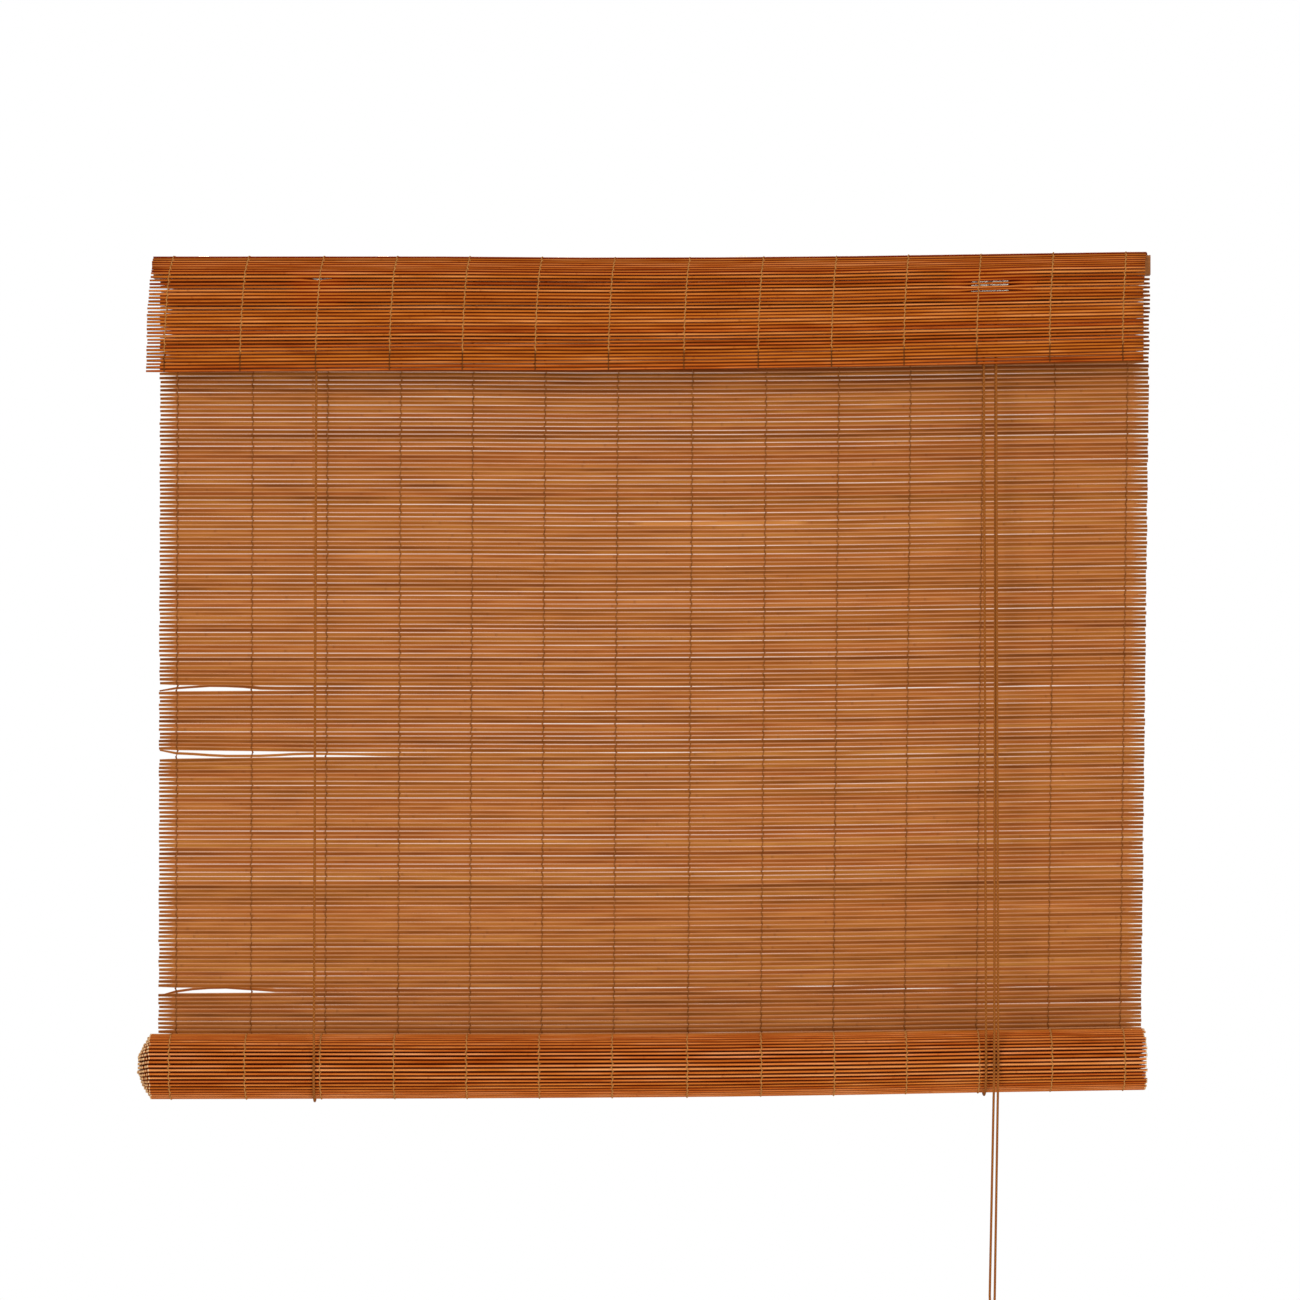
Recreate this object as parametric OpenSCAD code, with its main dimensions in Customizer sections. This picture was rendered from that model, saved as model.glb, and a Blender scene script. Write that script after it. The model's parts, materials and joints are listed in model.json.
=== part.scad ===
// Bamboo roll up blind, hung from its headrail and drawn partly up.
// Millimetres, +Z up, front towards -Y. The origin lies on the headrail's top face,
// midway between the two fixing holes.

/* [Headrail] */
// How far the headrail's ends stand out past the stick ends
rail_out = 3; // [-10:1:20]
// Depth of the headrail, front to back
rail_d = 20; // [17:1:30]
// Height of the headrail
rail_h = 20; // [18:1:45]
// Rounding of the headrail's long edges
rail_round = 1.5; // [0.5:0.25:3]
// Spacing of the two fixing holes
hole_spacing = 800; // [720:10:940]
// Diameter of a fixing hole
hole_d = 5; // [4:0.5:7]

/* [Mat] */
// Length of the bamboo sticks
mat_w = 1000; // [800:10:1400]
// Height of a stick
stick_h = 3.2; // [2.4:0.1:3.6]
// Thickness of a stick
stick_t = 2.6; // [2:0.1:3.4]
// Spacing of the sticks in the hanging mat
stick_pitch = 4.2; // [4:0.1:6]
// Thickness of the thread layer between the sticks
web_t = 0.8; // [0.5:0.1:1.2]
// Free stick ends outside the outer threads
free_end = 17; // [10:1:30]
// Distance from the outer threads to the ends of the long gaps
gap_margin = 8; // [4:1:20]
// Rows from one long gap to the next
gap_rows = 3; // [2:1:6]
// From the headrail's top down to the roll's axis
drop = 813; // [600:1:1200]
// Depths of the three sticks whose left ends have sprung out of line
sprung_depth = [433, 500, 740]; // [200:1:1000]
// Lengths of the sprung parts
sprung_len = [106, 240, 120]; // [40:1:300]
// Rise of the stick at even steps along each sprung part, from its left end
first_rise = [-2.8, 1.5, 2.8, 2.4, 0];
second_rise = [4.4, -1.6, -1.4, 1.4, 0];
third_rise = [-5.6, 1.4, 2.8, 1.8, 0];

/* [Valance] */
// From the headrail's top down to the valance's lower edge
valance_drop = 110; // [70:1:180]
// Spacing of the valance's sticks
valance_pitch = 3.4; // [3.2:0.1:5]
// How far the shoulder under the fold stands before the headrail
shoulder_out = 17; // [15:1:30]
// Depth of that shoulder below the headrail's top
shoulder_drop = 14; // [10:1:24]
// How far the lower edge stands before the headrail
valance_out = 26; // [18:1:50]
// Sideways slip of the valance on the headrail, to the left
valance_slip = 5; // [0:1:20]
// Room round a fixing screw in the valance's fold
screw_room = 2; // [1:0.5:4]

/* [Roll] */
// Radius of the roll at its outer turn
roll_r = 34.5; // [28:0.5:50]
// Slack between two turns of the roll
turn_slack = 0.6; // [0.5:0.1:1.5]
// Spacing of the sticks on the roll's outer turn
roll_pitch = 4; // [3.4:0.1:6]
// Slip of the outer turn to the left
outer_slip = 3; // [0:1:10]
// Further slip of the core to the left
core_slip = 14.5; // [0:0.5:40]
// Diameter of the wooden bottom rod
rod_d = 10; // [6:0.5:16]
// How far the bottom rod's ends stand back from the innermost turn
rod_inset = 3; // [0:1:30]

/* [Pulleys] */
// From the left stick ends to the left lift cord
left_cord_inset = 162; // [150:1:300]
// From the right stick ends to the right lift cord
right_cord_inset = 166; // [160:1:300]
// Depth of the sheaves' axles below the headrail's top
axle_drop = 26; // [24:1:32]
// Radius at the bottom of a sheave's groove
groove_r = 4.7; // [4:0.1:6]
// Height of a sheave's flanges over the groove
flange_h = 2.6; // [2:0.1:3.4]
// Thickness of a sheave
sheave_w = 4.6; // [4:0.1:7]
// Diameter of a sheave's axle
axle_d = 3; // [2:0.25:4]
// Thickness of the bracket's sheet steel
sheet_t = 1; // [0.6:0.1:1.6]
// Width of the left bracket
left_bracket_w = 20; // [18:1:30]
// Width of the right bracket
right_bracket_w = 37; // [34:1:44]
// Depth of the brackets' top edge below the headrail's top
bracket_top = 4; // [3:0.5:6]
// Diameter of a bracket screw's shank
screw_d = 3; // [2:0.25:4]
// Length of a bracket screw's shank
screw_len = 14; // [10:1:16]
// Diameter of a bracket screw's head
screw_head_d = 6; // [5:0.25:8]

/* [Cords] */
// Diameter of the cords
cord_d = 2.4; // [1.6:0.1:3]
// From the right lift cord to the rear pull strand, on the roll's front
rear_strand_out = 8; // [4:0.5:10]
// From the right lift cord to the front pull strand, on the roll's front
front_strand_out = 12; // [11:0.5:18]
// Length of the pull strands below the roll's axis
strand_len = 269; // [150:1:600]
// From the left lift cord out to the foot of its back run
back_foot_out = 2.5; // [0:0.5:6]
// From the left lift cord out to its knot behind the headrail
back_knot_out = 6; // [0:0.5:12]
// Diameter of the knots behind the headrail
knot_d = 5.2; // [4:0.1:7]
// Depth of those knots below the headrail's top
knot_drop = 8; // [6:1:12]

/* [Knob] */
// From the right lift cord to the knob
knob_out = 6; // [-4:1:16]
// Height of the knob
knob_h = 42; // [30:1:60]
// Largest diameter of the knob
knob_d = 24; // [18:1:34]
// Diameter of the knob at its neck
neck_d = 11; // [9:0.5:16]
// Depth of the recess that holds the knot
recess_h = 9; // [8:0.5:14]
// Diameter of that recess
recess_d = 10; // [9:0.5:14]

/* [Staples] */
// Width of a staple
staple_w = 10; // [6:0.5:14]
// Thickness of staple wire
wire_t = 0.8; // [0.5:0.1:1.2]
// Length of a staple's legs in the wood
leg_len = 7; // [5:0.5:9]
// Number of staples along the mat, and along the valance
staple_count = 6; // [3:1:10]
// Distance from the headrail's ends to the outer staples
staple_inset = 50; // [20:5:100]

/* [Clearances] */
// Between pieces that lie or hang beside each other
lay_gap = 0.3; // [0.2:0.05:0.5]
// Of a sheave on its axle
run_gap = 0.05; // [0.03:0.01:0.1]
// Of a screw or rivet in its hole
hole_gap = 0.15; // [0.05:0.05:0.4]
// Beside a sheave
side_gap = 0.35; // [0.25:0.05:0.8]

/* [Hidden] */
$fn = 48;
cord_r = cord_d / 2;
half_span = mat_w / 2 - free_end;
rail_len = mat_w + 2 * rail_out;
rod_len = mat_w - 2 * rod_inset;
left_cord_x = left_cord_inset - mat_w / 2;
right_cord_x = mat_w / 2 - right_cord_inset;

// Rows of the hanging mat, which ends just above the roll's axis
mat_y = rail_d / 2 + lay_gap + stick_t / 2;
mat_back = mat_y + stick_t / 2;
mat_len = drop - lay_gap;
row_count = round(mat_len / stick_pitch);
row_h = mat_len / row_count;
first_gap_row = ceil(rail_h / row_h);
sprung_rises = [first_rise, second_rise, third_rise];
sprung_rows = [for (d = sprung_depth) if (d < mat_len - stick_pitch) floor(d / row_h)];

// Roll: its outer turn continues the mat, down the back and up the front
roll_y = mat_back - roll_r;
roll_z = -drop;
turn_pitch = stick_t + turn_slack;
core_r = rod_d / 2 + lay_gap + stick_t;
turns = (roll_r - core_r) / turn_pitch;
turn_facets = 18;
ridged_turns = min(1.02, turns);
ridge_count = round(2 * PI * roll_r * ridged_turns / roll_pitch);
ridge_step = 360 * ridged_turns / ridge_count;
plain_count = ceil((turns - ridged_turns) * turn_facets);
plain_step = 360 * (turns - ridged_turns) / plain_count;
ridge_h = (stick_t - web_t) / 2;

// Valance: over the headrail's top, out to a shoulder, then down to its lower edge
fold_z = lay_gap + stick_t / 2;
valance_path = [
    [rail_d / 2 - rail_round, fold_z],
    [-rail_d / 2 - rail_round / 3, fold_z],
    [-rail_d / 2 - shoulder_out, -shoulder_drop],
    [-rail_d / 2 - valance_out, -valance_drop]
];
valance_len = path_len(valance_path, len(valance_path) - 1);
valance_rows = round(valance_len / valance_pitch);
valance_row_h = valance_len / valance_rows;

// Pulleys on the headrail's front face
rail_front = -rail_d / 2;
pitch_r = groove_r + lay_gap + cord_r;
sheave_r = groove_r + flange_h;
axle_z = -axle_drop;
left_axle_x = left_cord_x + pitch_r;
right_axle_x = right_cord_x + pitch_r;
rear_y = rail_front - sheet_t - side_gap - sheave_w / 2;
front_y = rear_y - sheave_w - side_gap;
left_plate_y = rear_y - sheave_w / 2 - side_gap;
right_plate_y = front_y - sheave_w / 2 - side_gap;
bridge_z = axle_z + sheave_r + 2 * side_gap + sheet_t;
screw_z = (bridge_z - bracket_top) / 2;
bracket_bottom = axle_z - sheave_r - 2 * sheet_t;
right_screw_out = right_bracket_w / 2 - screw_head_d / 2 - sheet_t;
head_h = screw_d * 0.6;

// Cords: slings round the roll, runs to the sheaves, strands to the knob
sling_r = roll_r + lay_gap + cord_r;
sling_front = roll_y - sling_r;
sling_back = roll_y + sling_r;
back_foot_x = left_cord_x - back_foot_out;
back_knot_x = left_cord_x - back_knot_out;
strand_x = right_axle_x + pitch_r;
rear_strand_x = right_cord_x + rear_strand_out;
front_strand_x = right_cord_x + front_strand_out;
knob_x = right_cord_x + knob_out;
knob_z = roll_z - strand_len;
knob_y = sling_front;
bore_d = 2 * cord_d + 2 * lay_gap;
tie_z = knob_z - knob_h + recess_h / 2;

// Helpers: directions of extrusion and rounded plates
module along_x(len) {
    rotate([90, 0, 90])
        linear_extrude(len)
            children();
}

module to_front(len) {
    rotate([90, 0, 0])
        linear_extrude(len)
            children();
}

module rounded_rect(w, h, r) {
    square([w - 2 * r, h], center = true);
    square([w, h - 2 * r], center = true);
    for (sx = [-1, 1], sy = [-1, 1])
        translate([sx * (w / 2 - r), sy * (h / 2 - r)])
            circle(r);
}

// Helpers: a polyline's length, and the point and normal at a distance along it
function path_len(p, n) = n < 1 ? 0 : norm(p[n] - p[n - 1]) + path_len(p, n - 1);
function path_at(p, s, i = 1) =
    let (step = norm(p[i] - p[i - 1]))
    s <= step || i == len(p) - 1
        ? p[i - 1] + (p[i] - p[i - 1]) * s / step
        : path_at(p, s - step, i + 1);
function path_normal(p, s, reach) =
    let (d = path_at(p, s + reach) - path_at(p, s - reach))
    [d[1], -d[0]] / norm(d);

// Helpers: a round cord swept along its points; side is a direction that the cord never takes
function unit(v) = v / norm(v);
function heading(p, i) = unit(p[min(i + 1, len(p) - 1)] - p[max(i - 1, 0)]);
function cord_ring(p, i, side) =
    let (t = heading(p, i), a = unit(cross(side, t)), b = cross(t, a))
    [for (k = [0:7]) p[i] + cord_r * (a * cos(k * 45) + b * sin(k * 45))];

module cord(p, side) {
    last = (len(p) - 1) * 8;
    points = [for (i = [0:len(p) - 1]) each cord_ring(p, i, side)];
    walls = [
        for (i = [0:len(p) - 2], k = [0:7])
            let (m = (k + 1) % 8)
            [i * 8 + k, (i + 1) * 8 + k, (i + 1) * 8 + m, i * 8 + m]
    ];
    ends = [[for (k = [0:7]) k], [for (k = [7:-1:0]) last + k]];
    color("saddlebrown")
        polyhedron(points, concat(walls, ends));
}

function sheave_arc(x, y, from, to) =
    [for (a = [from:-15:to]) [x + pitch_r * cos(a), y, axle_z + pitch_r * sin(a)]];

// Wooden headrail with its two fixing holes
module headrail() {
    color("saddlebrown")
        difference() {
            translate([-rail_len / 2, 0, -rail_h / 2])
                along_x(rail_len)
                    rounded_rect(rail_d, rail_h, rail_round);
            for (s = [-1, 1])
                translate([s * hole_spacing / 2, 0, -rail_h - 1])
                    cylinder(h = rail_h + 2, d = hole_d);
        }
}

// One stick of the mat, six-sided, from the mat's left edge to its right edge
stick_profile = [
    [web_t / 2, stick_h / 2], [stick_t / 2, 0], [web_t / 2, -stick_h / 2],
    [-web_t / 2, -stick_h / 2], [-stick_t / 2, 0], [-web_t / 2, stick_h / 2]
];

module stick() {
    translate([-mat_w / 2, 0, 0])
        along_x(mat_w)
            polygon(stick_profile);
}

// The same stick with its left part sprung up and down, and the rest straight
module sprung_stick(sprung, rises) {
    n = len(rises);
    sides = len(stick_profile);
    stations = concat(
        [for (j = [0:n - 1]) [sprung * j / (n - 1) - mat_w / 2, rises[j]]],
        [[mat_w / 2, 0]]
    );
    points = [for (s = stations, p = stick_profile) [s[0], p[0], p[1] + s[1]]];
    walls = [
        for (i = [0:n - 1], k = [0:sides - 1])
            let (m = (k + 1) % sides)
            [i * sides + k, i * sides + m, (i + 1) * sides + m, (i + 1) * sides + k]
    ];
    ends = [[for (k = [sides - 1:-1:0]) k], [for (k = [0:sides - 1]) n * sides + k]];
    polyhedron(points, concat(walls, ends));
}

function row_z(i) = -(i + 0.5) * row_h;

// Hanging mat: sticks on a thin thread layer, with long gaps, free stick ends and sprung sticks
module mat() {
    long_gap = 2 * (half_span - gap_margin);
    color("peru")
        translate([0, mat_y, 0]) {
            for (i = [0:row_count - 1])
                if (len(search(i, sprung_rows)) == 0)
                    translate([0, 0, row_z(i)])
                        stick();
            for (k = [0:len(sprung_rows) - 1])
                translate([0, 0, row_z(sprung_rows[k])])
                    sprung_stick(sprung_len[k], sprung_rises[k]);
            difference() {
                translate([-half_span, -web_t / 2, row_z(row_count - 1)])
                    cube([2 * half_span, web_t, row_z(0) - row_z(row_count - 1)]);
                for (i = [first_gap_row:gap_rows:row_count - 2])
                    translate([-long_gap / 2, -web_t, row_z(i + 1) + stick_h / 2])
                        cube([long_gap, 2 * web_t, row_h - stick_h]);
                for (k = [0:len(sprung_rows) - 1])
                    translate([-mat_w / 2, -web_t, row_z(sprung_rows[k] + 1) + stick_h / 2])
                        cube([sprung_len[k], 2 * web_t, 2 * row_h - stick_h]);
            }
        }
}

// Ridged section of the valance along its path, seen from the right
module valance_section() {
    reach = valance_row_h / 2;
    steps = [0:2 * valance_rows];
    function rise(j) = (j % 2 == 0 ? web_t : stick_t) / 2;
    function edge(j, out) =
        path_at(valance_path, j * reach) + out * rise(j) * path_normal(valance_path, j * reach, reach);
    polygon(concat(
        [for (j = steps) edge(j, 1)],
        [for (j = steps) edge(2 * valance_rows - j, -1)]
    ));
}

// Valance folded over the headrail, with room for the fixing screws
module valance() {
    color("sienna")
        difference() {
            translate([-mat_w / 2 - valance_slip, 0, 0])
                along_x(mat_w)
                    valance_section();
            for (s = [-1, 1])
                translate([s * hole_spacing / 2, 0, 0])
                    cylinder(h = 2 * fold_z + stick_t, d = hole_d + 2 * screw_room);
        }
}

// Stations along the roll's turns: angle, outer radius and inner radius
function turn_r(a) = roll_r - turn_pitch * a / 360;
ridge_stations = [
    for (j = [0:2 * ridge_count])
        let (a = j * ridge_step / 2, dip = j % 2 == 0 ? ridge_h : 0)
        [a, turn_r(a) - dip, turn_r(a) - stick_t + dip]
];
plain_stations = [
    for (j = [1:plain_count])
        let (a = 360 * ridged_turns + j * plain_step)
        [a, turn_r(a), turn_r(a) - stick_t]
];
stations = concat(ridge_stations, plain_stations);
function slip(a) = -outer_slip - core_slip * a / (360 * turns);
function on_roll(x, a, r) = [x, roll_y + r * cos(a), roll_z - r * sin(a)];

// Rolled-up rest of the mat: one spiral strip, slipped to the left towards its core
module roll() {
    n = len(stations);
    points = [
        for (s = stations, end = [-1, 1], k = [1, 2])
            on_roll(end * mat_w / 2 + slip(s[0]), s[0], s[k])
    ];
    walls = [
        for (i = [0:n - 2])
            let (a = i * 4, b = a + 4)
            each [
                [a, a + 2, b + 2, b], [a + 1, b + 1, b + 3, a + 3],
                [a, b, b + 1], [a, b + 1, a + 1],
                [a + 2, b + 3, b + 2], [a + 2, a + 3, b + 3]
            ]
    ];
    e = (n - 1) * 4;
    ends = [[0, 1, 3, 2], [e, e + 2, e + 3, e + 1]];
    color("chocolate")
        polyhedron(points, concat(walls, ends));
}

// Rod in the core, slipped as far as the innermost turn
module bottom_rod() {
    color("burlywood")
        translate([-rod_len / 2 - outer_slip - core_slip, roll_y, roll_z])
            rotate([0, 90, 0])
                cylinder(h = rod_len, d = rod_d);
}

// Staple with its crown along X on the plane y = 0 and its legs towards -Y
module staple(width, leg) {
    translate([-width / 2, 0, -wire_t / 2])
        cube([width, wire_t, wire_t]);
    for (x = [-width / 2, width / 2 - wire_t])
        translate([x, -leg, -wire_t / 2])
            cube([wire_t, leg + wire_t, wire_t]);
}

staple_step = (rail_len - 2 * staple_inset) / (staple_count - 1);
staple_x = [for (i = [0:staple_count - 1]) staple_inset - rail_len / 2 + i * staple_step];
through_mat = stick_t + lay_gap + leg_len;

// Staples that hold the mat to the headrail's back
module mat_staples() {
    color("silver")
        for (x = staple_x)
            translate([x, mat_back, row_z(floor(rail_h / 2 / row_h))])
                staple(staple_w, through_mat);
}

// Staples that hold the valance to the headrail's top
module valance_staples() {
    color("silver")
        for (x = staple_x)
            translate([x, 0, fold_z + stick_t / 2])
                rotate([90, 0, 0])
                    staple(staple_w, through_mat);
}

// Sheet bracket round a sheave: back plate with screw holes, bridge and front plate
module bracket(x, w, plate_y, screws) {
    plate_h = bridge_z - bracket_bottom;
    back_h = -bracket_top - bracket_bottom;
    corner = 2 * sheet_t;
    color("lightgray")
        difference() {
            union() {
                translate([x, rail_front, bracket_bottom + back_h / 2])
                    to_front(sheet_t)
                        rounded_rect(w, back_h, corner);
                translate([x, plate_y, bracket_bottom + plate_h / 2])
                    to_front(sheet_t)
                        rounded_rect(w, plate_h, corner);
                translate([x - w / 2 + corner, plate_y - sheet_t, bridge_z - sheet_t])
                    cube([w - 2 * corner, rail_front - plate_y + sheet_t, sheet_t]);
            }
            translate([x, rail_front + 1, axle_z])
                to_front(rail_front - plate_y + sheet_t + 2)
                    circle(d = axle_d + 2 * hole_gap);
            for (s = screws)
                translate([x + s, rail_front + 1, screw_z])
                    to_front(sheet_t + 2)
                        circle(d = screw_d + 2 * hole_gap);
        }
}

module left_bracket() {
    bracket(left_axle_x, left_bracket_w, left_plate_y, [0]);
}

module right_bracket() {
    bracket(right_axle_x, right_bracket_w, right_plate_y, [-right_screw_out, right_screw_out]);
}

// Riveted axle through both plates, with a domed head in front
module axle(x, plate_y) {
    reach = rail_front - plate_y + sheet_t;
    color("gray")
        translate([x, rail_front, axle_z])
            rotate([90, 0, 0])
                rotate_extrude()
                    polygon([
                        [0, 0], [axle_d / 2, 0], [axle_d / 2, reach], [axle_d, reach],
                        [axle_d * 0.9, reach + axle_d * 0.2], [axle_d * 0.5, reach + axle_d * 0.35],
                        [0, reach + axle_d * 0.4]
                    ]);
}

module left_axle() {
    axle(left_axle_x, left_plate_y);
}

module right_axle() {
    axle(right_axle_x, right_plate_y);
}

// Round-headed screw with its head on the plane y = 0 and its shank towards +Y
module screw() {
    rotate([90, 0, 0])
        rotate_extrude()
            polygon([
                [0, -screw_len], [screw_d / 2, -screw_len + screw_d], [screw_d / 2, 0],
                [screw_head_d / 2, 0], [screw_head_d * 0.42, head_h * 0.6],
                [screw_head_d * 0.25, head_h * 0.9], [0, head_h]
            ]);
}

// Screws of the two brackets
module bracket_screws() {
    places = [left_axle_x, right_axle_x - right_screw_out, right_axle_x + right_screw_out];
    color("silver")
        for (x = places)
            translate([x, rail_front - sheet_t, screw_z])
                screw();
}

// Grooved sheave on its axle, with dished sides
module sheave(x, y) {
    half = sheave_w / 2;
    rim = (sheave_w - cord_d - 2 * lay_gap) / 2;
    hub_r = axle_d;
    dish = half - rim;
    color("ivory")
        translate([x, y, axle_z])
            rotate([90, 0, 0])
                rotate_extrude()
                    polygon([
                        [axle_d / 2 + run_gap, -half], [hub_r, -half], [hub_r + rim, -dish],
                        [groove_r - rim, -dish], [groove_r, -half], [sheave_r, -half],
                        [sheave_r, rim - half], [groove_r, rim - half + side_gap / 3],
                        [groove_r, half - rim - side_gap / 3], [sheave_r, half - rim],
                        [sheave_r, half], [groove_r, half], [groove_r - rim, dish],
                        [hub_r + rim, dish], [hub_r, half], [axle_d / 2 + run_gap, half]
                    ]);
}

module left_sheave() {
    sheave(left_axle_x, rear_y);
}

module right_rear_sheave() {
    sheave(right_axle_x, rear_y);
}

module right_front_sheave() {
    sheave(right_axle_x, front_y);
}

// Cord from the left sheave along the headrail and over the right rear sheave
module cross_cord() {
    cord(concat(
        sheave_arc(left_axle_x, rear_y, 180, 90),
        sheave_arc(right_axle_x, rear_y, 90, 0)
    ), [0, 1, 0]);
}

// Cord over the right front sheave
module right_wrap_cord() {
    cord(sheave_arc(right_axle_x, front_y, 180, 0), [0, 1, 0]);
}

// Run of a lift cord down the front, from its sheave to its sling
module front_run(x, y) {
    cord([[x, y, axle_z - lay_gap], [x, sling_front, roll_z + lay_gap]], [1, 0, 0]);
}

module left_front_run() {
    front_run(left_cord_x, rear_y);
}

module right_front_run() {
    front_run(right_cord_x, front_y);
}

// Run of a lift cord up the back, from its sling to its knot
module back_run(foot_x, knot_x) {
    cord([[foot_x, sling_back, roll_z + lay_gap], [knot_x, sling_back, -knot_drop]], [1, 0, 0]);
}

module left_back_run() {
    back_run(back_foot_x, back_knot_x);
}

module right_back_run() {
    back_run(right_cord_x, right_cord_x);
}

// Sling of a lift cord under the roll, from front to back
module sling(front_x, back_x) {
    cord([
        for (i = [0:16])
            let (a = 180 * (1 + i / 16))
            [front_x + (back_x - front_x) * i / 16, roll_y + sling_r * cos(a), roll_z + sling_r * sin(a)]
    ], [1, 0, 0]);
}

module left_sling() {
    sling(left_cord_x, back_foot_x);
}

module right_sling() {
    sling(right_cord_x, right_cord_x);
}

// Pull strand from its sheave to the roll's front
module strand_upper(y, x) {
    cord([[strand_x, y, axle_z - lay_gap], [x, sling_front, roll_z + lay_gap]], [1, 0, 0]);
}

module rear_strand_upper() {
    strand_upper(rear_y, rear_strand_x);
}

module front_strand_upper() {
    strand_upper(front_y, front_strand_x);
}

// Pull strand from the roll's front to the knot under the knob
module strand_lower(x, hand) {
    in_bore = knob_x + hand * (cord_r + lay_gap / 3);
    cord([
        [x, knob_y, roll_z],
        [in_bore + hand * cord_r, knob_y, knob_z + knob_h],
        [in_bore, knob_y, knob_z],
        [in_bore, knob_y, tie_z]
    ], [0, 1, 0]);
}

module rear_strand_lower() {
    strand_lower(rear_strand_x, -1);
}

module front_strand_lower() {
    strand_lower(front_strand_x, 1);
}

// Knots at the tops of the back runs
module back_knots() {
    color("saddlebrown")
        for (x = [back_knot_x, right_cord_x])
            translate([x, mat_back + lay_gap + knot_d / 2, -knot_drop])
                sphere(d = knot_d);
}

// Staples across the back runs, under their knots
module back_cord_staples() {
    width = cord_d + 2 * wire_t + 2 * lay_gap;
    out = cord_d + 2 * lay_gap;
    color("silver")
        for (x = [back_knot_x, right_cord_x])
            translate([x, mat_back + out, -knot_drop - knot_d / 2 - wire_t])
                staple(width, through_mat + out);
}

// Turned wooden knob, bored for both strands and recessed for their knot
module pull_knob() {
    neck = neck_d / 2;
    belly = knob_d / 2;
    outline = [
        for (a = [0:15:90])
            [neck + (belly - neck) * (1 - cos(a)), -knob_h * 0.62 * sin(a)]
    ];
    base = [
        for (a = [15:15:75])
            [belly - belly * 0.35 * (1 - cos(a)), -knob_h * (0.62 + 0.38 * sin(a))]
    ];
    color("burlywood")
        translate([knob_x, knob_y, knob_z])
            difference() {
                rotate_extrude()
                    polygon(concat([[0, 0]], outline, base, [[belly * 0.65, -knob_h], [0, -knob_h]]));
                translate([0, 0, -knob_h - 1])
                    cylinder(h = knob_h + 2, d = bore_d);
                translate([0, 0, -knob_h - 1])
                    cylinder(h = recess_h + 1, d = recess_d);
            }
}

// Knot of both strands in the knob's recess
module knob_knot() {
    color("saddlebrown")
        translate([knob_x, knob_y, tie_z])
            sphere(d = recess_h - 2 * lay_gap);
}

headrail();
mat();
valance();
roll();
bottom_rod();
mat_staples();
valance_staples();
left_bracket();
right_bracket();
left_axle();
right_axle();
bracket_screws();
left_sheave();
right_rear_sheave();
right_front_sheave();
cross_cord();
right_wrap_cord();
left_front_run();
right_front_run();
left_back_run();
right_back_run();
left_sling();
right_sling();
rear_strand_upper();
front_strand_upper();
rear_strand_lower();
front_strand_lower();
back_knots();
back_cord_staples();
pull_knob();
knob_knot();
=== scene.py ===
# %% [markdown]
# # A bamboo roll up blind
#
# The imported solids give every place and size. This notebook keeps them as a fixed frame and dresses
# them: each bamboo stick is modelled, the warp threads are twined round the sticks, and the cords get
# their braid. Everything is in metres, with +Z up and the front towards -Y.

# %% Load the frame
import json
import math
import random

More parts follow.
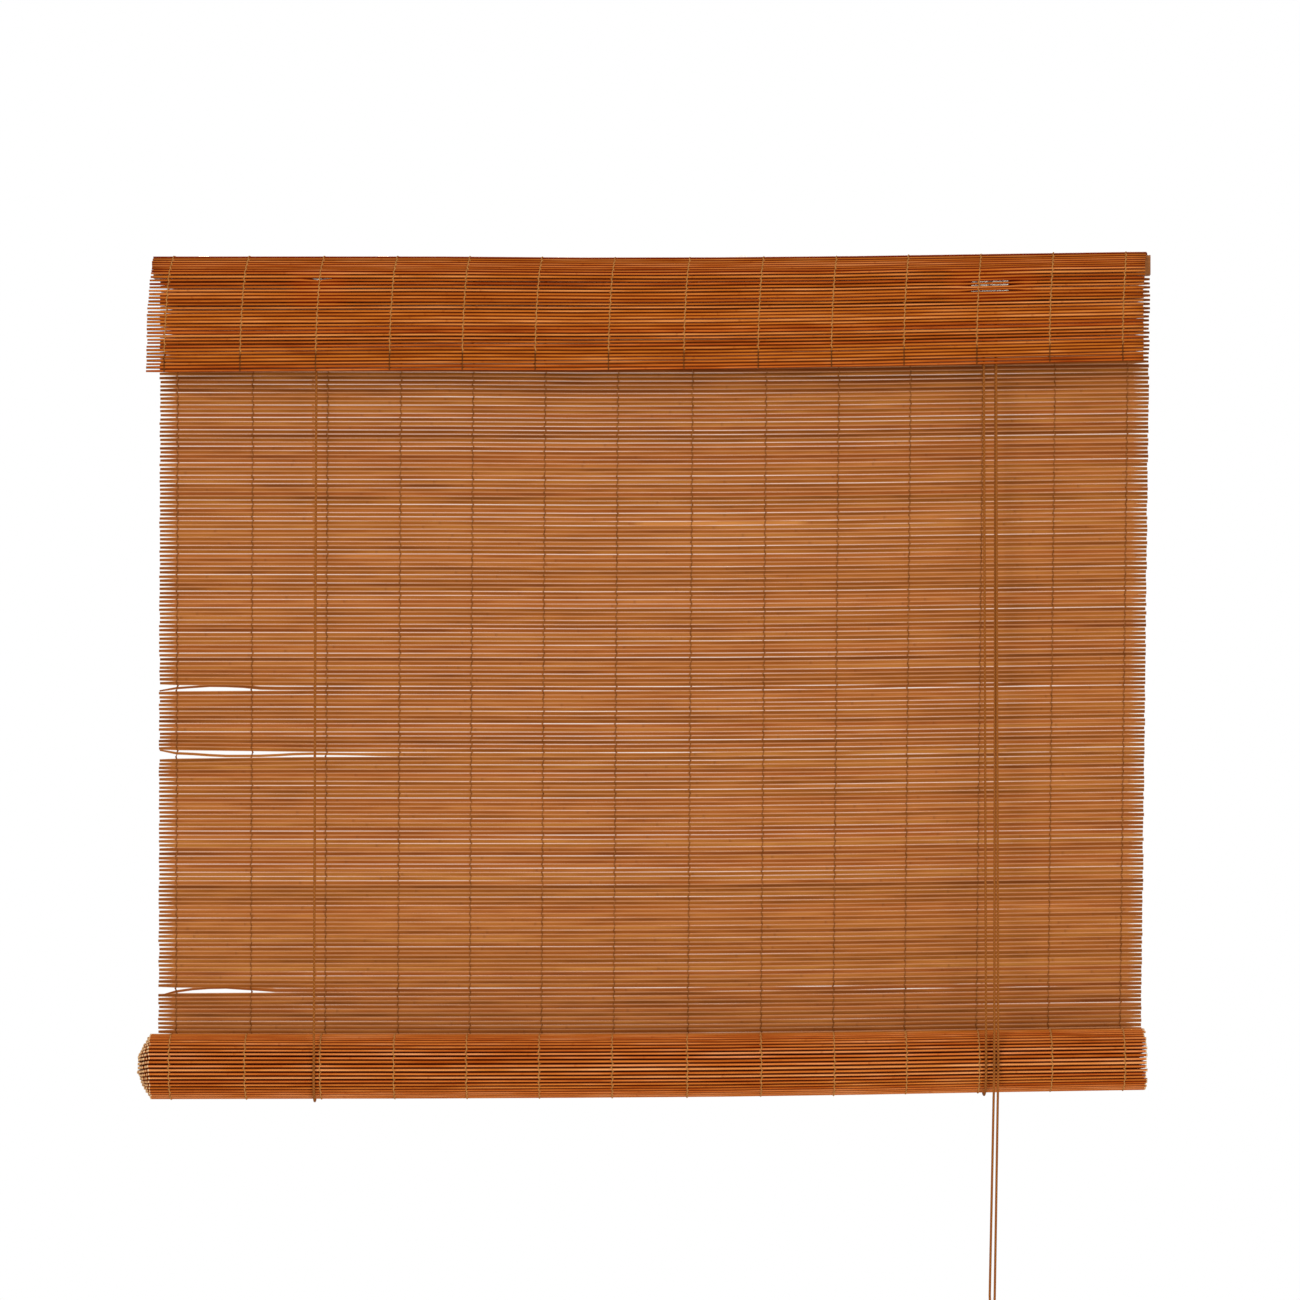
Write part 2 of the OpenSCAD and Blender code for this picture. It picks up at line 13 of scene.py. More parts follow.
import bmesh
import bpy
from mathutils import Matrix, Vector, noise
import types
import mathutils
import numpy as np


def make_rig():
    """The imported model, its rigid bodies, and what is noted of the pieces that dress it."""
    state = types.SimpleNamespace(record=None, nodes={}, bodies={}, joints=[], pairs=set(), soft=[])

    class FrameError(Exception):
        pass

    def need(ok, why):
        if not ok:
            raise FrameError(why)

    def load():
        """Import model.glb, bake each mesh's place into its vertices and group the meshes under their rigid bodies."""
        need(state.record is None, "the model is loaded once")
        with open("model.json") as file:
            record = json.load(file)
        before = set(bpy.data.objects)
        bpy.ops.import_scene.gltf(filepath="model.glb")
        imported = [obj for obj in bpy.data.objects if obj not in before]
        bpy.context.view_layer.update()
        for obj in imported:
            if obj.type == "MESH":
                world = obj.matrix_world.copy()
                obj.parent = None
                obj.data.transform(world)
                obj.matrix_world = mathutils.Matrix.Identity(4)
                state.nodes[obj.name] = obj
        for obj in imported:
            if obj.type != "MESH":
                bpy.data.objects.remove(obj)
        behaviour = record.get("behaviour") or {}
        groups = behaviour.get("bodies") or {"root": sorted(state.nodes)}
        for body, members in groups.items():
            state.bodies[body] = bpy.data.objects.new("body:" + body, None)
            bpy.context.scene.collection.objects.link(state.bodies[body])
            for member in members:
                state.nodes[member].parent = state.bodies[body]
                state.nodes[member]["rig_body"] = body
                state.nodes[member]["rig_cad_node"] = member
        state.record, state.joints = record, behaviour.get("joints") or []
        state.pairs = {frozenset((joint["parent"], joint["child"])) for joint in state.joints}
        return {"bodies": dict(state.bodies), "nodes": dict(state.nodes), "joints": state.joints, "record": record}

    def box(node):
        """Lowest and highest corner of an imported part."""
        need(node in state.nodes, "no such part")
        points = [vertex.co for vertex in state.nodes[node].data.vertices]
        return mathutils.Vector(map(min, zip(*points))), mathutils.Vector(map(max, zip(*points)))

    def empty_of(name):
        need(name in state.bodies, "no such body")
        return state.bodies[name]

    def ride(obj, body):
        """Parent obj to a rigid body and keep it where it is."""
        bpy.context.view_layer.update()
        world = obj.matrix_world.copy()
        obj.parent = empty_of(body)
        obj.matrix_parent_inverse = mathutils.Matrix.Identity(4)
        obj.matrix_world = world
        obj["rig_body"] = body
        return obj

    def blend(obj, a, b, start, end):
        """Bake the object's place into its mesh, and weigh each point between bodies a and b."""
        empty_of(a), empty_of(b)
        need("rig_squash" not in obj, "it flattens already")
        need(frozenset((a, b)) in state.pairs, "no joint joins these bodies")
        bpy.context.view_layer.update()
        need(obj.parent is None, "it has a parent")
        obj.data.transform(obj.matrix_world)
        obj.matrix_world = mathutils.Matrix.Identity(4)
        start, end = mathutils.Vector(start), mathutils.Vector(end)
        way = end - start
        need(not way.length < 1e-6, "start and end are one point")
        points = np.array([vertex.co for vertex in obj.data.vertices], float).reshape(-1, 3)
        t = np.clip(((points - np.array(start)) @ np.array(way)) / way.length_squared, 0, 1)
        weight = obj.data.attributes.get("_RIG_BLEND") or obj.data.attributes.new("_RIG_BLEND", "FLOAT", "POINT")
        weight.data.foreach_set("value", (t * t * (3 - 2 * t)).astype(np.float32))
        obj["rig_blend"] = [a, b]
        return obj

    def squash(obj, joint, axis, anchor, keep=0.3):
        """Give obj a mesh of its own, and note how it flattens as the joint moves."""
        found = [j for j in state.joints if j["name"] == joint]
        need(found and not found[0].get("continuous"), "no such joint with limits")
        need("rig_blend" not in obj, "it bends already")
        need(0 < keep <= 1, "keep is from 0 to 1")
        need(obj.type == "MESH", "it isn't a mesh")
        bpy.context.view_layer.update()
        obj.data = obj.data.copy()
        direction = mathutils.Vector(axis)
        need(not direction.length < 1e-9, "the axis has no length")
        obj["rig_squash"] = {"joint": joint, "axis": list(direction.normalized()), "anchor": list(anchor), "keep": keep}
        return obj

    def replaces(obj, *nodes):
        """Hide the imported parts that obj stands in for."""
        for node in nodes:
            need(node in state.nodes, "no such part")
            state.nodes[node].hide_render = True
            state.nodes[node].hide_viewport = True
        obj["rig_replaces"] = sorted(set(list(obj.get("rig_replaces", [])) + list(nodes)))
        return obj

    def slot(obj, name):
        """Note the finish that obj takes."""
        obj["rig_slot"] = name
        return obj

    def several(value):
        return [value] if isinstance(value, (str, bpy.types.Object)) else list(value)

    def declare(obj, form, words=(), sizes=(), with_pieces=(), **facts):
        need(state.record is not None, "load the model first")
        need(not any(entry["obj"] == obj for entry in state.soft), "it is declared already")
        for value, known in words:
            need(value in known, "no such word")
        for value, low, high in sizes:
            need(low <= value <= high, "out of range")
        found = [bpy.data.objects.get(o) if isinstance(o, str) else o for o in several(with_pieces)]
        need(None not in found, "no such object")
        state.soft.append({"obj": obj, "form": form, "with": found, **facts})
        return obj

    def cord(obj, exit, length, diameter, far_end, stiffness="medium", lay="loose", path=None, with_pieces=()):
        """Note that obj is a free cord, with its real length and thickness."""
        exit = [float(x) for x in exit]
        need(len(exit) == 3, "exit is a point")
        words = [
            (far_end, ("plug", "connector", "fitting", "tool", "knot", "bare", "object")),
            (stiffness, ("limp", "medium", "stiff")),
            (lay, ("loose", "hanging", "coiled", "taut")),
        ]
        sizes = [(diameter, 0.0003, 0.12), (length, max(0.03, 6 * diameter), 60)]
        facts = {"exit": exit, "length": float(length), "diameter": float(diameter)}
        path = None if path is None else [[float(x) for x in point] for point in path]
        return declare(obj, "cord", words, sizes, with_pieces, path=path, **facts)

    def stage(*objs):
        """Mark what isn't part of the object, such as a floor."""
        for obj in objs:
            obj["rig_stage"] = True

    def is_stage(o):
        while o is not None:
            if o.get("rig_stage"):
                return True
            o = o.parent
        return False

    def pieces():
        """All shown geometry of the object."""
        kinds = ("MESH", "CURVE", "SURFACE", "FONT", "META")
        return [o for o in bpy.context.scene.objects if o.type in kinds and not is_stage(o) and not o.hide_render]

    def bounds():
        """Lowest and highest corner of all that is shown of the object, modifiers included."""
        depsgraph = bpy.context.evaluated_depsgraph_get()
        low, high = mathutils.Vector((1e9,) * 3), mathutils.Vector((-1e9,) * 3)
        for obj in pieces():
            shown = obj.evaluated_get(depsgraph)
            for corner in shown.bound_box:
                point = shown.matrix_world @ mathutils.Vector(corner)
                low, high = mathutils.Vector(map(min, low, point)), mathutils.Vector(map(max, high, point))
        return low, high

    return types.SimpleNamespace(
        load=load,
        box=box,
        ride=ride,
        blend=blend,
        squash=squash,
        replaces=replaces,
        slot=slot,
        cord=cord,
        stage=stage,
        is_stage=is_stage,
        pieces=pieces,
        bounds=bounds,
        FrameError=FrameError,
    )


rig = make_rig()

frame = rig.load()
cad_low, cad_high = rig.bounds()
dice = random.Random(11)
scene = bpy.context.scene
scene.view_settings.view_transform = "Standard"
print("frame", [round(v, 4) for v in cad_high - cad_low])

# %% [markdown]
# ## Camera
#
# The photograph looks straight at the blind from about five metres with a long lens, so the sticks
# stay level and the roll hardly grows towards the viewer. The focal length is kept in pixels of a
# 1300 pixel picture and turned into millimetres for Blender's 36 mm sensor.

# %% Camera
IMAGE = 1300
FOCAL = 5000
EYE = (-0.002, -5.054, -0.395)
SENSOR = 36
FAR_CLIP = 60

lens = bpy.data.cameras.new("camera")
lens.sensor_width = SENSOR
lens.lens = SENSOR * FOCAL / IMAGE
lens.clip_end = FAR_CLIP
eye = bpy.data.objects.new("camera", lens)
eye.location = EYE
eye.rotation_euler = (math.pi / 2, 0, 0)
scene.collection.objects.link(eye)
scene.camera = eye
print("lens", round(lens.lens, 1), "mm")

# %% [markdown]
# ## Cords
#
# Cords come first, because their routes decide whether the solids have to move. A lift cord runs down
# the front of the mat, under the roll in a sling, and up the back. Two pull strands come down from the
# pulleys at the right. A tube is swept by extruding one ring along its route, and its UV map holds the
# length in metres and the share of a turn, so that a braid can follow it. A bevelled curve would be
# quicker to make, but its UV map doesn't count in metres.

# %% Tube along a route
def route_planes(route):
    """A plane across the route at each of its points, turned as little as possible from one to the next."""
    last = len(route) - 1
    heads = [(route[min(i + 1, last)] - route[max(i - 1, 0)]).normalized() for i in range(last + 1)]
    turn = heads[0].to_track_quat("Z", "Y")
    planes = []
    for i, at in enumerate(route):
        if i:
            turn = heads[i - 1].rotation_difference(heads[i]) @ turn
        planes.append(Matrix.Translation(at) @ turn.to_matrix().to_4x4())
    return planes


def tube(name, points, radius, sides=10):
    """A closed round tube along the points."""
    route = [Vector(p) for p in points]
    planes = route_planes(route)
    made = bmesh.new()
    along = made.verts.layers.float.new("along")
    around = made.verts.layers.float.new("around")
    ring = bmesh.ops.create_circle(made, cap_ends=True, segments=sides, radius=radius)["verts"]
    for v in ring:
        v[around] = math.atan2(v.co.y, v.co.x) / (2 * math.pi) % 1
    bmesh.ops.transform(made, matrix=planes[0], verts=ring)
    painted_edge = list(made.edges)
    gone = 0
    for i in range(1, len(route)):
        gone += (route[i] - route[i - 1]).length
        grown = bmesh.ops.extrude_edge_only(made, edges=painted_edge)["geom"]
        ring = [g for g in grown if isinstance(g, bmesh.types.BMVert)]
        painted_edge = [g for g in grown if isinstance(g, bmesh.types.BMEdge)]
        bmesh.ops.transform(made, matrix=planes[i] @ planes[i - 1].inverted(), verts=ring)
        for v in ring:
            v[along] = gone
    bmesh.ops.edgeloop_fill(made, edges=painted_edge)
    bmesh.ops.recalc_face_normals(made, faces=made.faces)
    braid = made.loops.layers.uv.new("braid")
    for face in made.faces:
        face.smooth = len(face.verts) == 4
        turns = [loop.vert[around] for loop in face.loops]
        wraps = max(turns) - min(turns) > 0.5
        for loop, turn in zip(face.loops, turns):
            loop[braid].uv = (loop.vert[along], turn + (wraps and turn < 0.5))
    return keep(name, made)


def keep(name, made):
    """Turns a finished bmesh into an object at the origin."""
    mesh = bpy.data.meshes.new(name)
    made.to_mesh(mesh)
    made.free()
    piece = bpy.data.objects.new(name, mesh)
    scene.collection.objects.link(piece)
    return piece


def route_length(points):
    """Length of a route in metres."""
    return sum((Vector(b) - Vector(a)).length for a, b in zip(points, points[1:]))


print("helpers", tube.__name__, keep.__name__, route_length.__name__)

# %% [markdown]
# The row lines of the real blind are not quite level: the right side hangs a little higher, the middle
# of the headrail sags, and the roll is wound tighter at the right. Two functions give that rise and that
# tightness for every stick and cord, so that all pieces stay together. A lattice could bend the finished
# pieces too, but then the routes that are declared for the cords would not be bent with them.

# %% Sag of the hanging blind
# Distance of the roll's axis below the headrail's top
DROP = 0.813
# Height over a level line, as (place along the blind, height)
TOP_LINE = [
    (-0.5, 0), (-0.25, -0.0002), (0, -0.0018), (0.15, -0.0009),
    (0.3, 0.001), (0.41, 0.0028), (0.5, 0.0036),
]
FOOT_LINE = [
    (-0.5, -0.0004), (-0.25, -0.0003), (0, 0.0003), (0.15, 0.0018),
    (0.3, 0.0042), (0.41, 0.006), (0.5, 0.007),
]
# Share of its full radius that the roll has in the middle, and its loss per metre to the right
ROLL_SHARE, ROLL_TAPER = 0.97, 0.06


def eased(points, x):
    """A smooth line through a few points."""
    if x <= points[0][0]:
        return points[0][1]
    for (x0, h0), (x1, h1) in zip(points, points[1:]):
        if x < x1:
            t = (x - x0) / (x1 - x0)
            return h0 + (h1 - h0) * t * t * (3 - 2 * t)
    return points[-1][1]


def rise(x, depth):
    """How far a point of the blind lies above a level line; depth is 0 at the top and 1 at the roll."""
    top, foot = eased(TOP_LINE, x), eased(FOOT_LINE, x)
    return top + (foot - top) * depth


def tight(x):
    """Share of its full radius that the roll has at a place along it."""
    return ROLL_SHARE - ROLL_TAPER * x


print("rise at the right", round(rise(0.5, 0), 4), round(rise(0.5, 1), 4))

# %% [markdown]
# A real lift cord is one long piece. Here it is cut where it passes from one moving body to another, so
# that each stretch can follow its own body. The stretches could be free curves, but the weight of the
# roll pulls them taut, so arcs and straight lines between known places are enough.

# %% Slings under the roll
CORD_D = 0.0024
# The roll's axis, and the distance of a cord's middle from it
AXIS_Y, AXIS_Z = -0.0216, -0.813
SLING_R = 0.036
# Places of the two lift cords on the front, and of the left one on the back at the roll and at its knot
LEFT_X, RIGHT_X = -0.338, 0.334
BACK_FOOT_X, BACK_KNOT_X = LEFT_X - 0.0025, LEFT_X - 0.006


def sling_arc(front_x, back_x, steps=24):
    """Under the roll, from its front to its back."""
    reach = SLING_R * tight(front_x)
    lift = rise(front_x, 1)
    arc = []
    for i in range(steps + 1):
        turn = math.pi * (1 + i / steps)
        x = front_x + (back_x - front_x) * i / steps
        z = AXIS_Z + lift * math.sin(math.pi * i / steps) + reach * math.sin(turn)
        arc.append((x, AXIS_Y + reach * math.cos(turn), z))
    return arc


slings = {"left_sling": sling_arc(LEFT_X, BACK_FOOT_X), "right_sling": sling_arc(RIGHT_X, RIGHT_X)}
LEFT_FRONT, LEFT_BACK = slings["left_sling"][0], slings["left_sling"][-1]
RIGHT_FRONT, RIGHT_BACK = slings["right_sling"][0], slings["right_sling"][-1]
print("slings", [round(route_length(points), 4) for points in slings.values()])

# %% [markdown]
# The runs go from the sheaves in the headrail down to the roll, and from the knots behind the headrail
# down its back. Over a sheave the cord lies in the groove, so its route is an arc of the groove's radius.
# Below the roll the two pull strands come together and end in the knob.

# %% Runs, wraps and strands
# Depths of the rear and front sheaves, height of their axles, and radius of a cord in a groove
REAR_Y, FRONT_Y = -0.01365, -0.0186
AXLE_Z, PITCH_R = -0.026, 0.0062
# Heights of the upper and lower ends of the runs, and of the knots behind the headrail
RUN_TOP, RUN_FOOT, KNOT_Z = -0.0263, -0.8127, -0.008
BACK_TOP_Y = AXIS_Y + SLING_R
STRAND_X, STRAND_Y = RIGHT_X + 2 * PITCH_R, AXIS_Y - SLING_R
# Places of the two pull strands on the roll's front, at the photograph's lower edge and in the knob
REAR_ON_ROLL, FRONT_ON_ROLL = 0.342, 0.346
REAR_LOW, FRONT_LOW, LOW_Z = 0.3375, 0.3425, -1.04
REAR_IN_KNOB, FRONT_IN_KNOB = 0.3387, 0.3413
KNOB_TOP, STRAND_END = -1.082, -1.1195
TAUT_STEPS = 16


def straight(start, end):
    """Points along a taut stretch of cord."""
    return [Vector(start).lerp(Vector(end), i / TAUT_STEPS) for i in range(TAUT_STEPS + 1)]


def sheave_arc(x, y, start, end, steps=8):
    """Over a sheave's groove, between two angles."""
    turns = [math.radians(start + (end - start) * i / steps) for i in range(steps + 1)]
    return [(x + PITCH_R * math.cos(a), y, AXLE_Z + PITCH_R * math.sin(a)) for a in turns]


def above(spot):
    """The end of a run over the end of its sling."""
    return (spot[0], spot[1], RUN_FOOT)


def lower_strand(on_roll, low, in_knob):
    """From the roll's front down to the photograph's edge, and on into the knob."""
    free = straight((on_roll, STRAND_Y, AXIS_Z), (low, STRAND_Y, LOW_Z))
    return free + [(in_knob, STRAND_Y, KNOB_TOP), (in_knob, STRAND_Y, STRAND_END)]


runs = {
    "left_front_run": straight((LEFT_X, REAR_Y, RUN_TOP), above(LEFT_FRONT)),
    "right_front_run": straight((RIGHT_X, FRONT_Y, RUN_TOP), above(RIGHT_FRONT)),
    "left_back_run": straight((BACK_KNOT_X, BACK_TOP_Y, KNOT_Z), above(LEFT_BACK)),
    "right_back_run": straight((RIGHT_X, BACK_TOP_Y, KNOT_Z), above(RIGHT_BACK)),
    "rear_strand_upper": straight((STRAND_X, REAR_Y, RUN_TOP), (REAR_ON_ROLL, STRAND_Y, RUN_FOOT)),
    "front_strand_upper": straight((STRAND_X, FRONT_Y, RUN_TOP), (FRONT_ON_ROLL, STRAND_Y, RUN_FOOT)),
}
wraps = {
    "cross_cord": sheave_arc(LEFT_X + PITCH_R, REAR_Y, 180, 90)
    + sheave_arc(RIGHT_X + PITCH_R, REAR_Y, 90, 0),
    "right_wrap_cord": sheave_arc(RIGHT_X + PITCH_R, FRONT_Y, 180, 0, 16),
}
lowers = {
    "rear_strand_lower": lower_strand(REAR_ON_ROLL, REAR_LOW, REAR_IN_KNOB),
    "front_strand_lower": lower_strand(FRONT_ON_ROLL, FRONT_LOW, FRONT_IN_KNOB),
}
print("routes", len(runs) + len(slings) + len(wraps) + len(lowers))

# %% [markdown]
# Each route becomes a tube. The runs between headrail and roll get shorter as the roll climbs. Bones or
# shape keys could do that too, but squashing a straight tube towards its upper end gives the same and is
# simpler. The slings ride with the roll, and the lower strands stretch between the roll and the knob.

# %% Cord pieces
# How far the roll can climb
LIFT = 0.63
cords = []


def lay_cord(node, points, body):
    """A tube in the place of one solid cord; without a body it is blended between two later on."""
    piece = tube("cord_" + node, points, CORD_D / 2)
    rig.replaces(piece, node)
    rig.slot(piece, "cord")
    if body:
        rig.ride(piece, body)
    cords.append(piece)
    return piece


def declare(piece, points, far_end="object", with_pieces=()):
    """Says that a piece is a cord, with its route and its real length."""
    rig.cord(
        piece, exit=points[0], length=route_length(points), diameter=CORD_D, far_end=far_end,
        stiffness="limp", lay="taut", path=points, with_pieces=with_pieces,
    )


for node, points in runs.items():
    piece = lay_cord(node, points, "frame")
    top = points[0][2]
    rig.squash(piece, "roll_lift", (0, 0, 1), (0, 0, top), keep=1 - LIFT / (top - RUN_FOOT))
    declare(piece, points)
for node, points in slings.items():
    declare(lay_cord(node, points, "slings"), points)
for node, points in wraps.items():
    piece = lay_cord(node, points, "frame")
    if node == "cross_cord":
        declare(piece, points)
strands = {}
for node, points in lowers.items():
    piece = lay_cord(node, points, None)
    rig.blend(piece, "slings", "knob", start=points[0], end=points[TAUT_STEPS])
    strands[node] = piece
print("cords", len(cords))

# %% [markdown]
# ## Knots
#
# The cords are tied off in overhand knots: two behind the headrail and one in the knob's recess. A
# trefoil line, pulled tight and swept with a slightly pressed cord, looks like such a knot. Tying it
# by hand from curve points would take longer and look no better at this size.

# %% Knots
# Size of a knot's line behind the headrail, share of its thickness that the pressed cord keeps there,
# and room for the cord's own thickness in the knob's recess
BACK_KNOT_SIZE, BACK_KNOT_PRESS, RECESS_ROOM = 0.0018, 0.8, 0.0011


def trefoil(centre, size, steps=48):
    """Points of a trefoil line round a centre."""
    turns = [2 * math.pi * i / steps for i in range(steps)]
    return [
        Vector(centre) + size / 3 * Vector((
            math.sin(t) + 2 * math.sin(2 * t), -math.sin(3 * t), math.cos(t) - 2 * math.cos(2 * t),
        ))
        for t in turns
    ]


def knot(name, node, spots, size, press, body):
    """One piece with a tied knot at each spot, in the place of the solid knots."""
    joined = bmesh.new()
    for spot in spots:
        single = tube(name + "_loop", trefoil(spot, size), CORD_D / 2 * press, sides=8)
        joined.from_mesh(single.data)
        bpy.data.objects.remove(single)
    piece = keep(name, joined)
    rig.replaces(piece, node)
    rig.slot(piece, "cord")
    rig.ride(piece, body)
    cords.append(piece)
    return piece


low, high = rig.box("back_knots")
knot_y = (low.y + high.y) / 2
back_knots = knot(
    "knots_behind_headrail", "back_knots", [(BACK_KNOT_X, knot_y, KNOT_Z), (RIGHT_X, knot_y, KNOT_Z)],
    BACK_KNOT_SIZE, BACK_KNOT_PRESS, "frame",
)
low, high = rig.box("knob_knot")
knob_knot = knot(
    "knot_in_knob", "knob_knot", [(low + high) / 2], (high.x - low.x) / 2 - RECESS_ROOM, 1, "knob",
)
for node, piece in strands.items():
    declare(piece, lowers[node], "knot", [knob_knot, frame["nodes"]["pull_knob"]] if "rear" in node else ())
print("knots", len(back_knots.data.vertices), len(knob_knot.data.vertices))

# %% [markdown]
# ## Bamboo sticks
#
# Each stick of the blind is a split and stained bamboo strip, a bit flat and never quite straight. One
# six-sided stick is made from a cone operator, cut across so that it can bend, and then added again and
# again with its own wave, length and tone. Its sawn ends carry a second material, which on the roll
# also covers a short frayed tip.

# %% Stick template
def stick_template(cuts, tip, frayed=False):
    """A stick from x 0 to 1, with rings a tip's length from its ends and cuts between them."""
    made = bmesh.new()
    bmesh.ops.create_cone(made, cap_ends=True, segments=6, radius1=0.5, radius2=0.5, depth=1)
    bmesh.ops.rotate(made, verts=made.verts, matrix=Matrix.Rotation(math.pi / 2, 3, "Y"))
    bmesh.ops.scale(made, verts=made.verts, vec=(1, 1, 1 / math.cos(math.pi / 6)))
    bmesh.ops.translate(made, verts=made.verts, vec=(0.5, 0, 0))
    lengthwise = [e for e in made.edges if abs(e.verts[0].co.x - e.verts[1].co.x) > 0.5]
    bmesh.ops.subdivide_edges(made, edges=lengthwise, cuts=cuts + 2)
    for v in made.verts:
        ring = round(v.co.x * (cuts + 3))
        inner = tip + (1 - 2 * tip) * (ring - 1) / (cuts + 1)
        v.co.x = min(1, max(0, inner)) if 0 < ring < cuts + 3 else v.co.x
    for face in made.faces:
        sawn = abs(face.normal.x) > 0.9
        end = frayed and abs(face.calc_center_median().x - 0.5) > 0.5 - tip
        face.material_index = int(sawn or end)
        face.smooth = not sawn
    mesh = bpy.data.meshes.new("stick")
    made.to_mesh(mesh)
    made.free()
    return mesh


# Lengths of a stick's free end outside the outer thread and of a frayed tip; a stick is a metre long
FREE_END, FRAYED_TIP = 0.017, 0.0011
PLAIN_CUTS, BENT_CUTS = 6, 56
plain_stick = stick_template(PLAIN_CUTS, FREE_END)
bent_stick = stick_template(BENT_CUTS, FREE_END)
frayed_stick = stick_template(PLAIN_CUTS, FRAYED_TIP, frayed=True)
print("stick faces", len(plain_stick.polygons), len(bent_stick.polygons), len(frayed_stick.polygons))

# %% [markdown]
# Hundreds of stick objects would be slow to handle, so the sticks of one mat are gathered in one mesh.
# Two attributes on its points keep what the finish needs to know: the tone of each stick, and how near
# a point is to the stick's upper or lower edge, where the finish paints shade in the grooves or light glowing through.

# %% Bundle of sticks
class Bundle:
    """Sticks that are gathered into one piece, each with its own tone and with edges marked for painted shade and
    light.
    """

    def __init__(self):
        self.made = bmesh.new()
        self.tone = self.made.verts.layers.float.new("tone")
        self.edge = self.made.verts.layers.float.new("edge")

    def add(self, template, shape, tone):
        """Adds a stick, with its points moved by shape, and returns those points."""
        first = len(self.made.verts)
        self.made.from_mesh(template)
        self.made.verts.ensure_lookup_table()
        added = self.made.verts[first:]
        for v in added:
            # 0 at the stick's middle, 1 at its upper and lower edges, where the finish paints shade or light
            v[self.edge] = 2 * abs(v.co.z)
            v[self.tone] = tone
            v.co = shape(v.co)
        return added


print("point attributes", "tone", "edge")

# %% [markdown]
# The warp threads are twined in pairs: at each stick one strand passes in front and one behind, and
# they cross in the gap below, a little to the left and to the right by turns. Thin bevelled curves make
# the strands, and are then turned into a mesh. A straight tube would be quicker, but the small steps of
# the crossings are what makes a woven mat look woven.

# %% Twined threads
THREAD_R = 0.00055
# Half the stretch of a strand that lies flat on a stick, the sideways step of a crossing, and the
# distance of each strand from it
FLAT, CROSSING, APART = 0.001, 0.001, THREAD_R * 0.8
# Places of the warp threads along the blind
THREAD_X = (
    -0.482, -0.406, -0.3303, -0.2563, -0.1833, -0.1103, -0.0368,
    0.0387, 0.1131, 0.1866, 0.2592, 0.3322, 0.4052, 0.4784,
)


def twine(spots, reach):
    """The two strands of one warp thread past a row of (centre, outward, downward) spots."""
    strands = []
    for first in (1, -1):
        points = []
        for i, (at, out, down) in enumerate(spots):
            side = first if i % 2 else -first
            points.append(at + out * side * reach - down * FLAT)
            points.append(at + out * side * reach + down * FLAT)
            if i + 1 < len(spots):
                shift = (-1) ** i * CROSSING + side * APART
                points.append((at + spots[i + 1][0]) / 2 + Vector((shift, 0, 0)))
        strands.append(points)
    return strands


def thread_piece(name, strands):
    """The strands of one mat as thin curves, turned into a mesh."""
    line = bpy.data.curves.new(name, "CURVE")
    line.dimensions = "3D"
    line.bevel_depth = THREAD_R
    line.bevel_resolution = 0
    line.use_fill_caps = True
    for points in strands:
        spline = line.splines.new("POLY")
        spline.points.add(len(points) - 1)
        for spot, at in zip(spline.points, points):
            spot.co = (*at, 1)
    strung = bpy.data.objects.new(name + "_line", line)
    piece = bpy.data.objects.new(name, bpy.data.meshes.new_from_object(strung))
    bpy.data.objects.remove(strung)
    scene.collection.objects.link(piece)
    return piece


print("warp threads", len(THREAD_X))

# %% [markdown]
# ## Hanging mat
#
# The mat hangs flat from the headrail's back to the roll. Its sticks lie about four millimetres apart
# and wander a little, so thin slits of daylight show between them. Outside the outer threads the ends
# are thinner and stand free like a comb. At the left three ends have sprung out of line and leave slits.
# A picture of sticks on one flat sheet would be cheaper, but no daylight could pass it. So first a few
# functions say where each row lies.

# %% Rows of the mat
mat_low, mat_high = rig.box("mat")
MAT_Y = (mat_low.y + mat_high.y) / 2
ROWS, MAT_LENGTH = 194, 0.8127
ROW_H = MAT_LENGTH / ROWS
STICK_T = 0.0026
# Height of a sprung stick over its row, as (place along the mat, height)
SPRUNG = {
    103: [(-0.5, -0.0028), (-0.478, 0.0004), (-0.45, 0.0024), (-0.425, 0.0022), (-0.39, 0)],
    119: [(-0.5, 0.0046), (-0.478, 0.001), (-0.43, -0.0014), (-0.4, -0.0013), (-0.35, 0.0008), (-0.26, 0)],
    176: [
        (-0.5, -0.0058), (-0.482, -0.0012), (-0.455, 0.0024), (-0.43, 0.0028), (-0.405, 0.0014), (-0.38, 0),
    ],
}
# How far the neighbours of a sprung stick have moved away from it, and where that ends
PUSHED = {103: (0.001, -0.39), 119: (0.002, -0.31), 176: (0.0008, -0.37)}
# Number of rows on each side that have moved, and the place where they have moved most
NEIGHBOURS, PUSH_FULL = 4, -0.46
SLOW_WAVE, QUICK_WAVE = 0.0003, 0.0002
# Width of the mat against its solid at the top, and its loss down to the roll
WIDTH, NARROWING = 1.0028, 0.0077
# Place of the mat's middle at the top, and its drift to the left down to the roll
MAT_MIDDLE, DRIFT = 0.0033, 0.0057


def row_depth(row):
    """Distance of a row from the headrail's top."""
    return (row + 0.5) * ROW_H


def wander(row, x):
    """The small ups and downs of a stick along its length."""
    slow = noise.noise(Vector((x * 3.0, row * 5.37, 1.3)))
    quick = noise.noise(Vector((x * 9.0, row * 3.71, 8.9)))
    return SLOW_WAVE * slow + QUICK_WAVE * quick


def row_z(row, x):
    """Height of a mat stick's middle at a place along it."""
    depth = row_depth(row)
    z = rise(x, depth / DROP) - depth + wander(row, x)
    for sprung, points in SPRUNG.items():
        if row == sprung:
            z += eased(points, x)
        elif abs(row - sprung) <= NEIGHBOURS:
            push, end = PUSHED[sprung]
            near = eased([(PUSH_FULL, 1), (end, 0)], x) * (1 - (abs(row - sprung) - 1) / NEIGHBOURS)
            z += math.copysign(push * near, sprung - row)
    return z


